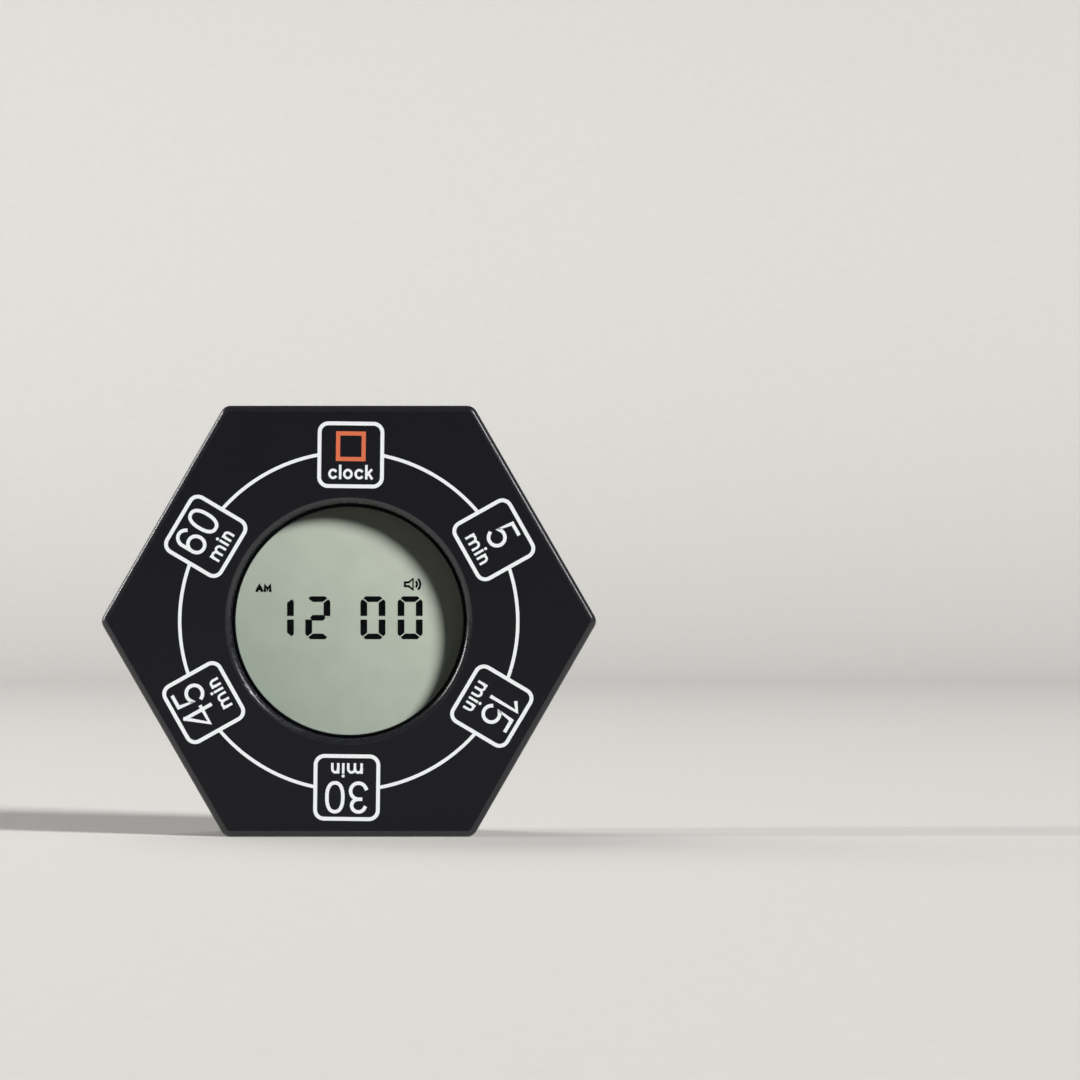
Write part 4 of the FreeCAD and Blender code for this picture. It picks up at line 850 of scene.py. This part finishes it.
# The sound sign, in millimetres from its lower left corner: a horn and two waves round its mouth.
SIGN_CORNER = (10.32 * MM, 5.72 * MM)
SIGN_LINE = 0.4 * MM
HORN = [(0.0, 0.75), (0.7, 0.75), (1.5, 0.1), (1.5, 2.1), (0.7, 1.45), (0.0, 1.45)]
HORN_MOUTH = (1.5, 1.1)
WAVES = (0.75, 1.35)
WAVE_SPREAD = 48


def seven_segments(look):
    """The outlines of a digit's seven segments, from its lower left corner."""
    width, height, gap = look.digit_width, look.digit_height, look.segment_gap
    upright, level, cut = look.upright_width, look.level_width, look.corner_cut
    slip = gap / (2 * math.sqrt(2))
    mitre = gap / math.sqrt(2)
    low_mid, high_mid = height / 2 - level / 2, height / 2 + level / 2
    foot = height / 2 + look.middle_gap / 2

    top = [(cut / 2 + slip, height - cut / 2 + slip), (cut, height), (width - cut, height),
           (width - cut / 2 - slip, height - cut / 2 + slip), (width - upright - mitre, height - level),
           (upright + mitre, height - level)]
    upper_left = [(0, height - cut), (cut / 2 - slip, height - cut / 2 - slip),
                  (upright, height - level - mitre), (upright, foot), (0, foot)]
    middle = [(upright / 2 + gap, height / 2), (upright + gap / 2, high_mid),
              (width - upright - gap / 2, high_mid), (width - upright / 2 - gap, height / 2),
              (width - upright - gap / 2, low_mid), (upright + gap / 2, low_mid)]

    def mirrored(outline, across=False, up=False):
        """The same segment at the digit's other side, or its other end."""
        return [(width - x if across else x, height - y if up else y) for x, y in outline]

    return {
        "a": top, "b": mirrored(upper_left, across=True), "c": mirrored(upper_left, across=True, up=True),
        "d": mirrored(top, up=True), "e": mirrored(upper_left, up=True), "f": upper_left, "g": middle,
    }


class TIMER_OT_display(bpy.types.Operator):
    """Fill the display: its layers, the digits, the half-day letters and the sound sign."""
    bl_idname = "timer.display"
    bl_label = "Display"

    def execute(self, context):
        look = context.scene.timer_display
        film = display_film("reflective_display_film", look.background, look.painted_lit_background, look.painted_light_from)
        glass = float_glass("float_glass_display")
        # Aluminium foil, brushed: a soft pale streak behind the glass.
        foil = worked_metal("brushed_foil_reflector", "#c3c8c0", 0.45, 0.6, (1, 1, 8))
        wear(NODES["lcd_front_polarizer"], film)
        wear(NODES["lcd_front_glass"], glass)
        wear(NODES["lcd_rear_glass"], glass)
        wear(NODES["lcd_reflector"], foil)

        crystal = liquid_crystal("liquid_crystal_driven", look.segments)
        put = laid_on(DISPLAY_PLANE)
        digits = Artwork()
        segments = seven_segments(look)
        for sign, middle in zip(look.shown, DIGIT_MIDDLES):
            for segment in LIT_SEGMENTS[sign]:
                digits.slab(put, [(middle - look.digit_width / 2 + across, look.base + up)
                                  for across, up in segments[segment]])
        digits.finish("display_digits", crystal, "display_film")

        signs = Artwork()
        signs.word(put, "AM", letter_strokes(), **HALF_DAY)
        signs.stroke(put, in_millimetres(HORN, *SIGN_CORNER), SIGN_LINE, closed=True)
        for reach in WAVES:
            wave = arc(HORN_MOUTH, reach, -WAVE_SPREAD, WAVE_SPREAD, steps=10)
            signs.stroke(put, in_millimetres(wave, *SIGN_CORNER), SIGN_LINE, square_ends=False)
        signs.finish("display_signs", crystal, "display_film")
        return {"FINISHED"}


# The head height and shank radius of each group of screws.
SCREW_SIZES = {"case_screws": (1.8 * MM, 1.25 * MM), "board_screws": (1.3 * MM, 1.0 * MM),
               "button_board_screws": (1.3 * MM, 1.0 * MM)}

# A pan head's curve from its crown to its seat, as shares of its radius and height.
HEAD_CURVE = ((0, 1), (0.45, 1), (0.66, 0.94), (0.84, 0.78), (0.96, 0.52), (1, 0.28), (1, 0.06), (0.97, 0))

# One ring of thread: where its crest starts, where it ends and where it is back at the core, in pitches.
CREST_START, CREST_END, RING_END = 0.34, 0.42, 0.76

# Each screw was driven home to another angle: the first one's, and what each next one adds, in degrees.
FIRST_ANGLE, NEXT_ANGLE = 23, 37

# A screw's edges stay sharp where they are steeper than this, in degrees.
SCREW_CREASE = 32


def turned(mesh, profile, steps=40):
    """Turn a profile of (radius, height) about the upright line through the origin."""
    rings = []
    for radius, height in profile:
        count = 1 if radius == 0 else steps
        rings.append([mesh.verts.new((radius * math.cos(2 * math.pi * n / steps),
                                      radius * math.sin(2 * math.pi * n / steps), height))
                      for n in range(count)])
    for one, other in zip(rings, rings[1:]):
        for n in range(steps):
            following = (n + 1) % steps
            if len(one) == 1:
                mesh.faces.new((one[0], other[n], other[following]))
            elif len(other) == 1:
                mesh.faces.new((one[n], one[following], other[0]))
            else:
                mesh.faces.new((one[n], one[following], other[following], other[n]))


def pan_head_screw(head_radius, head_height, shank_radius, length):
    """A thread-forming screw that stands on its head's seat: domed head, ringed thread, blunt point."""
    pitch = 0.8 * shank_radius
    core = 0.74 * shank_radius
    point_radius = 0.3 * shank_radius
    thread_end = -length + 1.6 * shank_radius
    point_start = -length + 1.3 * shank_radius
    profile = [(across * head_radius, up * head_height) for across, up in HEAD_CURVE]
    neck, start = -0.12 * pitch, -0.3 * pitch
    profile += [(shank_radius, 0), (core, neck)]
    while start - pitch > thread_end:
        profile += [(core, start), (shank_radius, start - CREST_START * pitch),
                    (shank_radius, start - CREST_END * pitch), (core, start - RING_END * pitch)]
        start -= pitch
    profile += [(core, point_start), (point_radius, -length), (0, -length)]
    mesh = bmesh.new()
    turned(mesh, profile)
    return as_data("screw_blank", mesh)


def driver_tip(head_radius, head_height):
    """What a cross driver takes out of a head: two crossed blades that narrow downwards."""
    reach, width, depth = 0.62 * head_radius, 0.24 * head_radius, 0.75 * head_height
    mouth = (head_height + depth, 1.15 * reach, width)
    floor = (head_height - depth, 0.42 * reach, 0.7 * width)
    mesh = bmesh.new()
    for angle in (0, math.pi / 2):
        spin = Matrix.Rotation(angle, 4, "Z")
        rings = [[mesh.verts.new(spin @ Vector((x * across, y * thick / 2, height))) for x, y in corners(1)]
                 for height, across, thick in (mouth, floor)]
        mesh.faces.new(rings[0])
        mesh.faces.new(reversed(rings[1]))
        join_rings(mesh, *rings)
    bmesh.ops.recalc_face_normals(mesh, faces=mesh.faces)
    return as_data("driver_tip", mesh)


def recessed(blank, cutter):
    """The blank with the driver's tip taken out of its head."""
    body, tip = new_object("screw_blank", blank), new_object("driver_tip", cutter)
    cut = body.modifiers.new("recess", "BOOLEAN")
    cut.operation, cut.solver, cut.object = "DIFFERENCE", "EXACT", tip
    cut.use_self = True
    shape = bpy.data.meshes.new_from_object(body.evaluated_get(bpy.context.evaluated_depsgraph_get()))
    for obj in (body, tip):
        bpy.data.objects.remove(obj)
    return shape


def solid_boxes(node):
    """The two corners of each separate solid in a node, in a set order."""
    mesh = bmesh.new()
    mesh.from_mesh(NODES[node].data)
    bmesh.ops.remove_doubles(mesh, verts=mesh.verts, dist=0.001 * MM)
    boxes, waiting = [], set(mesh.verts)
    while waiting:
        island, edge = [], [waiting.pop()]
        while edge:
            vertex = edge.pop()
            island.append(vertex.co.copy())
            for link in vertex.link_edges:
                other = link.other_vert(vertex)
                if other in waiting:
                    waiting.remove(other)
                    edge.append(other)
        boxes.append((Vector(map(min, *island)), Vector(map(max, *island))))
    mesh.free()
    return sorted(boxes, key=lambda box: tuple(box[0]))


def head_is_behind(node, low, high):
    """True where a screw's wider end is the one towards the back."""
    middle = (low + high) / 2
    head_radius, near = (high.x - low.x) / 2, 0.02 * MM
    wide = [v.co.y for v in NODES[node].data.vertices
            if abs(math.hypot(v.co.x - middle.x, v.co.z - middle.z) - head_radius) < near]
    return sum(wide) / len(wide) > middle.y


class TIMER_OT_screws(bpy.types.Operator):
    """Make the case screws and the small screws inside, with domed heads, cross recesses and threads."""
    bl_idname = "timer.screws"
    bl_label = "Screws"

    def execute(self, context):
        # Steel, barrel-plated with zinc: bright grey with the small dents of the barrel.
        steel = worked_metal("zinc_plated_steel", "#a9abad", 0.32, 0.4)
        for node, (head_height, shank_radius) in SCREW_SIZES.items():
            boxes = solid_boxes(node)
            low, high = boxes[0]
            head_radius = (high.x - low.x) / 2
            blank = pan_head_screw(head_radius, head_height, shank_radius, high.y - low.y - head_height)
            screw = recessed(blank, driver_tip(head_radius, head_height))
            mesh = bmesh.new()
            for count, (low, high) in enumerate(boxes):
                behind = head_is_behind(node, low, high)
                seat = high.y - head_height if behind else low.y + head_height
                place = Matrix.Translation(((low.x + high.x) / 2, seat, (low.z + high.z) / 2))
                lean = Matrix.Rotation(-math.pi / 2 if behind else math.pi / 2, 4, "X")
                driven = Matrix.Rotation(math.radians(FIRST_ANGLE + NEXT_ANGLE * count), 4, "Z")
                copy = screw.copy()
                copy.transform(place @ lean @ driven)
                mesh.from_mesh(copy)
            obj = piece(node + "_threaded", mesh, steel, "case")
            smooth(obj, SCREW_CREASE)
            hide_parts(node)
            wear(NODES[node], steel)
        return {"FINISHED"}


# The back's signs, in millimetres across and up from each one's middle.
DIAL_RADIUS = 1.15
DIAL_HANDS = [(0.0, 0.72), (0.0, 0.0), (0.5, -0.3)]
CHEVRON = [(-0.9, -0.4), (0.0, 0.4), (0.9, -0.4)]
BACK_HORN = [(-1.6, -0.35), (-1.05, -0.35), (-0.4, -0.95), (-0.4, 0.95), (-1.05, 0.35), (-1.6, 0.35)]
BACK_HORN_MOUTH = (-0.5, 0)
BACK_WAVES = (0.8, 1.45)
BACK_WAVE_SPREAD = 46
LEVEL_BARS = ((-2.0, 0.5), (0.0, 1.1), (2.0, 1.7))
BAR_HALF = 0.3
BACK_LINE = 0.28 * MM
SIGNS_ABOVE, BARS_BELOW = 5.6 * MM, -5.4 * MM


class TIMER_OT_back_print(bpy.types.Operator):
    """Print the signs by the buttons and the sound switch on the back."""
    bl_idname = "timer.back_print"
    bl_label = "Back print"

    def execute(self, context):
        signs = Artwork(high=PAD_PRINT_TOP)

        def beside(node, rise):
            """Puts a sign on the back, a rise above a control."""
            low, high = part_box(node)
            middle = (low + high) / 2
            return laid_on(BACK_PLANE @ Matrix.Translation((-middle.x, middle.z - CENTRE_Z + rise, 0)))

        put = beside("set_button", SIGNS_ABOVE)
        signs.stroke(put, in_millimetres(circle((0, 0), DIAL_RADIUS)), BACK_LINE, closed=True)
        signs.stroke(put, in_millimetres(DIAL_HANDS), BACK_LINE)
        for node, shifts in (("hour_button", (0.0,)), ("minute_button", (-0.5, 0.5))):
            put = beside(node, SIGNS_ABOVE)
            for shift in shifts:
                signs.stroke(put, in_millimetres(CHEVRON, up=shift * MM), BACK_LINE)
        put = beside("sound_switch_knob", SIGNS_ABOVE)
        signs.slab(put, in_millimetres(BACK_HORN))
        for reach in BACK_WAVES:
            wave = arc(BACK_HORN_MOUTH, reach, -BACK_WAVE_SPREAD, BACK_WAVE_SPREAD, steps=12)
            signs.stroke(put, in_millimetres(wave), BACK_LINE)
        put = beside("sound_switch_knob", BARS_BELOW)
        for middle, tall in LEVEL_BARS:
            left, right = middle - BAR_HALF, middle + BAR_HALF
            signs.slab(put, in_millimetres([(left, 0), (right, 0), (right, tall), (left, tall)]))
        signs.finish("printed_back_signs", printed_ink("pad_print_grey", linear("#b9bcc0")), "case_plastic")
        return {"FINISHED"}


class TIMER_OT_controls(bpy.types.Operator):
    """Finish the buttons, the sound switch and the switches behind them."""
    bl_idname = "timer.controls"
    bl_label = "Controls"

    def execute(self, context):
        caps = polished_plastic("polished_abs_buttons", context.scene.timer_finish.buttons)
        # Nylon moulded with glass fibres: matt near-black with a dry grain.
        body = grained_solid("glass_filled_nylon_switch", "#1b1b1d", 0.5, 0.4, 0.006)
        # Acetal from a polished cavity: creamy and slick.
        plunger = polished_plastic("polished_pom_plunger", linear("#d9d6cc"), 0.3)
        # Tin plate, rolled: grey with fine lines along the can.
        can = worked_metal("rolled_tin_plate_can", "#b4b3ad", 0.35, 0.5, (6, 1, 1))
        for name in ("set", "hour", "minute"):
            wear(NODES[f"{name}_button"], caps)
            wear(NODES[f"{name}_plunger"], plunger)
            wear(NODES[f"{name}_switch"], body)
        wear(NODES["sound_switch_knob"], caps)
        wear(NODES["sound_switch_body"], can)
        return {"FINISHED"}


# The marks on a cell: how far its plus and its minus lie from its middle, half an arm, and their line.
PLUS_PLACE, MINUS_PLACE, MARK_ARM, MARK_LINE = 16.5 * MM, 18.0 * MM, 1.7 * MM, 0.9 * MM
CROSSING_HAIR = 0.002 * MM


class TIMER_OT_batteries(bpy.types.Operator):
    """Finish the two cells and the contacts that hold them."""
    bl_idname = "timer.batteries"
    bl_label = "Batteries"

    def execute(self, context):
        wear(NODES["upper_battery"], cell_sleeve("shrink_film_cell_upper", "upper_battery", 1))
        wear(NODES["lower_battery"], cell_sleeve("shrink_film_cell_lower", "lower_battery", -1))
        marks = Artwork()
        for node, side in (("upper_battery", -1), ("lower_battery", 1)):
            put = wrapped_on(node)
            plus, minus = side * PLUS_PLACE, -side * MINUS_PLACE
            marks.stroke(put, [(plus - MARK_ARM, 0), (plus + MARK_ARM, 0)], MARK_LINE, square_ends=False)
            marks.stroke(put, steps_between((plus, -MARK_ARM), (plus, MARK_ARM)), MARK_LINE,
                         square_ends=False, raised=CROSSING_HAIR)
            marks.stroke(put, steps_between((minus, -MARK_ARM), (minus, MARK_ARM)), MARK_LINE,
                         square_ends=False)
        cream = printed_ink("offset_print_cream", linear("#e9e4d6"))
        marks.finish("printed_cell_marks", cream, "cell_sleeve")
        # Spring steel under nickel: warm and bright.
        nickel = worked_metal("nickel_plated_spring_steel", "#c2bda9", 0.26, 0.5)
        for name in ("battery_link", "positive_contact", "negative_contact", "upper_battery_spring",
                     "lower_battery_spring"):
            wear(NODES[name], nickel)
        return {"FINISHED"}


class TIMER_OT_electronics(bpy.types.Operator):
    """Finish the boards, what they carry, the wires and the sounder."""
    bl_idname = "timer.electronics"
    bl_label = "Electronics"

    def execute(self, context):
        finishes = (
            (solder_mask("solder_mask_green"), "main_board", "button_board"),
            # Epoxy poured over the chip: a glossy drop with a slow swell.
            (grained_solid("epoxy_resin_black", "#0e0e10", 0.28, 1.5, 0.02), "controller_blob"),
            # Epoxy pressed round a sensor: matt charcoal.
            (grained_solid("epoxy_chip_package", "#1a1a1b", 0.55, 0.2, 0.004), "tilt_sensor"),
            # Steel drawn into a can: bright, with lines up its sides.
            (worked_metal("drawn_steel_can", "#bcbcb8", 0.25, 0.6, (1, 1, 6)), "crystal"),
            # Aluminium drawn into cans: paler and softer than the steel.
            (worked_metal("drawn_aluminium_can", "#c9cacb", 0.3, 0.5), "capacitors"),
            # Sintered ferrite: dark grey and gritty.
            (grained_solid("sintered_ferrite", "#2b2a2b", 0.6, 0.25, 0.01, 2.0), "boost_coil"),
            # Fired ceramic: small tan bricks with a slight glaze.
            (grained_solid("fired_ceramic_chips", "#6e5f4d", 0.45, 0.3, 0.004), "chip_parts"),
            # Polystyrene, moulded: plain off-white.
            (grained_solid("moulded_polystyrene_white", "#d7d7d2", 0.45, 0.5, 0.004), "lcd_holder"),
            # Silicone rubber, cast in strips: dull pink.
            (grained_solid("silicone_rubber_strip", "#c9a7a0", 0.7, 0.2, 0.006),
             "upper_zebra_strip", "lower_zebra_strip"),
            # Brass, rolled: yellow with fine lines.
            (worked_metal("rolled_brass_disc", "#a4854a", 0.36, 0.5, (1, 1, 7)), "sounder_disc"),
            # Fired ceramic under a silver wash: pale and chalky.
            (grained_solid("fired_ceramic_silvered", "#c4c1b8", 0.4, 0.4, 0.005), "sounder_element"),
            # Soft vinyl, extruded: a satin sheath with hardly any grain.
            (grained_solid("pvc_ribbon_grey", "#8d9096", 0.42, 0.6, 0.006), "ribbon_cable"),
            # The same vinyl, drawn over wire: smoother still, with a narrow glint along it.
            (grained_solid("pvc_lead_red", "#b3211d", 0.36, 0.8, 0.004),
             "battery_lead_red", "sounder_lead_red"),
            (grained_solid("pvc_lead_black", "#161617", 0.36, 0.8, 0.004),
             "battery_lead_black", "sounder_lead_black"),
        )
        for material, *names in finishes:
            for name in names:
                wear(NODES[name], material)
        return {"FINISHED"}


# Where the lamps stand, in metres from the timer's foot, and the size of the two windows.
KEY_PLACE = (1.17, -1.0, 0.84)
FILL_PLACE = (-0.5, 1.0, 1.0)
SIDE_WINDOW_PLACE, SIDE_WINDOW_SIZE = (-1.6, -0.11, 0.67), (0.1, 0.8)
BACK_WINDOW_PLACE, BACK_WINDOW_SIZE = (-1.52, 0.96, 0.74), (0.96, 1.44)

# The floor's front and back edge, its bend's radius, its top and half its width, in metres.
FLOOR_FRONT, FLOOR_BACK, FLOOR_BEND, FLOOR_TOP, FLOOR_HALF = -1.8, 1.2, 0.6, 1.2, 2.6

# The camera's sensor in millimetres, and how far it sees in metres.
SENSOR_WIDTH = 36
SIGHT_LIMIT = 20


def aim(obj, place, target):
    """Stand a lamp or the camera at a place and point it at a target."""
    obj.location = place
    obj.rotation_euler = (Vector(target) - Vector(place)).to_track_quat("-Z", "Y").to_euler()


class TIMER_OT_studio(bpy.types.Operator):
    """Set the pale floor, the lamps and the camera."""
    bl_idname = "timer.studio"
    bl_label = "Studio"

    def execute(self, context):
        look = context.scene.timer_studio
        self.floor(look)
        self.lamps(look)
        self.sky(context, look)
        self.camera(context, look)
        context.scene.view_settings.view_transform = "Standard"
        return {"FINISHED"}

    def floor(self, look):
        """A sheet that runs from in front of the timer, back, and up in one sweep."""
        line = [(FLOOR_FRONT, 0.0), (FLOOR_BACK, 0.0)]
        bend = arc((FLOOR_BACK, FLOOR_BEND), FLOOR_BEND, -90, 0, steps=24)
        line += bend[1:]
        line.append((FLOOR_BACK + FLOOR_BEND, FLOOR_TOP))
        mesh = bmesh.new()
        rows = [[mesh.verts.new((across, y, z)) for across in (-FLOOR_HALF, FLOOR_HALF)] for y, z in line]
        for one, other in zip(rows, rows[1:]):
            face = mesh.faces.new((one[0], one[1], other[1], other[0]))
            face.smooth = True
        floor = new_object("studio_floor", as_data("studio_floor", mesh))
        wear(floor, painted_floor("matt_emulsion_floor", look.floor, look.floor_glow, look.room))

    def lamps(self, look):
        """A soft key from the upper right, a wide fill from behind, and two windows at the left."""
        key = self.far_lamp("key_lamp", look.key_irradiance, look.key_angle, KEY_PLACE)
        self.far_lamp("glint_lamp", look.glint_irradiance, look.key_angle, KEY_PLACE)
        fill = self.far_lamp("fill_lamp", look.fill_irradiance, look.fill_angle, FILL_PLACE)
        key.visible_glossy = fill.visible_glossy = False
        self.window("side_window", SIDE_WINDOW_SIZE, look.side_power, SIDE_WINDOW_PLACE)
        self.window("back_window", BACK_WINDOW_SIZE, look.back_power, BACK_WINDOW_PLACE)

    def far_lamp(self, name, irradiance, angle, place):
        """A lamp so far off that its light falls evenly."""
        lamp = bpy.data.lights.new(name, "SUN")
        lamp.energy = irradiance
        lamp.angle = angle
        lamp_object = new_object(name, lamp)
        aim(lamp_object, place, (0, 0, 0))
        return lamp_object

    def window(self, name, size, power, place):
        """A tall soft light that looks at the timer."""
        lamp = bpy.data.lights.new(name, "AREA")
        lamp.shape = "RECTANGLE"
        lamp.size, lamp.size_y = size
        lamp.energy = power
        aim(new_object(name, lamp), place, (0, 0, CENTRE_Z))

    def sky(self, context, look):
        """An even light from all round, which the eye, gloss and glass see as a dim room."""
        world = bpy.data.worlds.new("studio_sky")
        world.use_nodes = True
        tree = world.node_tree
        tree.nodes.clear()
        light = add_node(tree, "ShaderNodeBackground", {"Color": (1, 1, 1, 1), "Strength": look.sky})
        room = add_node(tree, "ShaderNodeBackground", {"Color": (1, 1, 1, 1), "Strength": look.room})
        seen = arriving(tree, *SEEING_RAYS)
        mixed = add_node(tree, "ShaderNodeMixShader", links={0: seen, 1: light, 2: room})
        add_node(tree, "ShaderNodeOutputWorld", links={"Surface": mixed})
        context.scene.world = world

    def camera(self, context, look):
        """Square on to the face, from far off, with the timer low and left in the picture."""
        camera = bpy.data.cameras.new("camera")
        camera.lens = look.lens
        camera.sensor_width = SENSOR_WIDTH
        camera.clip_end = SIGHT_LIMIT
        distance = look.view_width * camera.lens / camera.sensor_width
        place = Vector((look.across, FACE_Y - distance, look.height))
        viewer = new_object("camera", camera)
        aim(viewer, place, place + Vector((0, 1, 0)))
        context.scene.camera = viewer


class TIMER_PT_panel(bpy.types.Panel):
    """Lists the steps that dress the timer."""
    bl_label = "Hexagonal Timer"
    bl_idname = "TIMER_PT_panel"
    bl_space_type = "VIEW_3D"
    bl_region_type = "UI"
    bl_category = "Timer"

    def draw(self, context):
        for step in STEPS:
            self.layout.operator(step.bl_idname)


STEPS = (TIMER_OT_case, TIMER_OT_window, TIMER_OT_face_print, TIMER_OT_display, TIMER_OT_screws,
         TIMER_OT_back_print, TIMER_OT_controls, TIMER_OT_batteries, TIMER_OT_electronics, TIMER_OT_studio)
CLASSES = (*SETTINGS.values(), *STEPS, TIMER_PT_panel)


def register():
    for each in CLASSES:
        bpy.utils.register_class(each)
    for name, group in SETTINGS.items():
        setattr(bpy.types.Scene, name, PointerProperty(type=group))


def unregister():
    for name in SETTINGS:
        delattr(bpy.types.Scene, name)
    for each in reversed(CLASSES):
        bpy.utils.unregister_class(each)


def main():
    """Register the classes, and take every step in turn."""
    register()
    for step in STEPS:
        group, name = step.bl_idname.split(".")
        getattr(getattr(bpy.ops, group), name)()


if __name__ == "__main__":
    main()
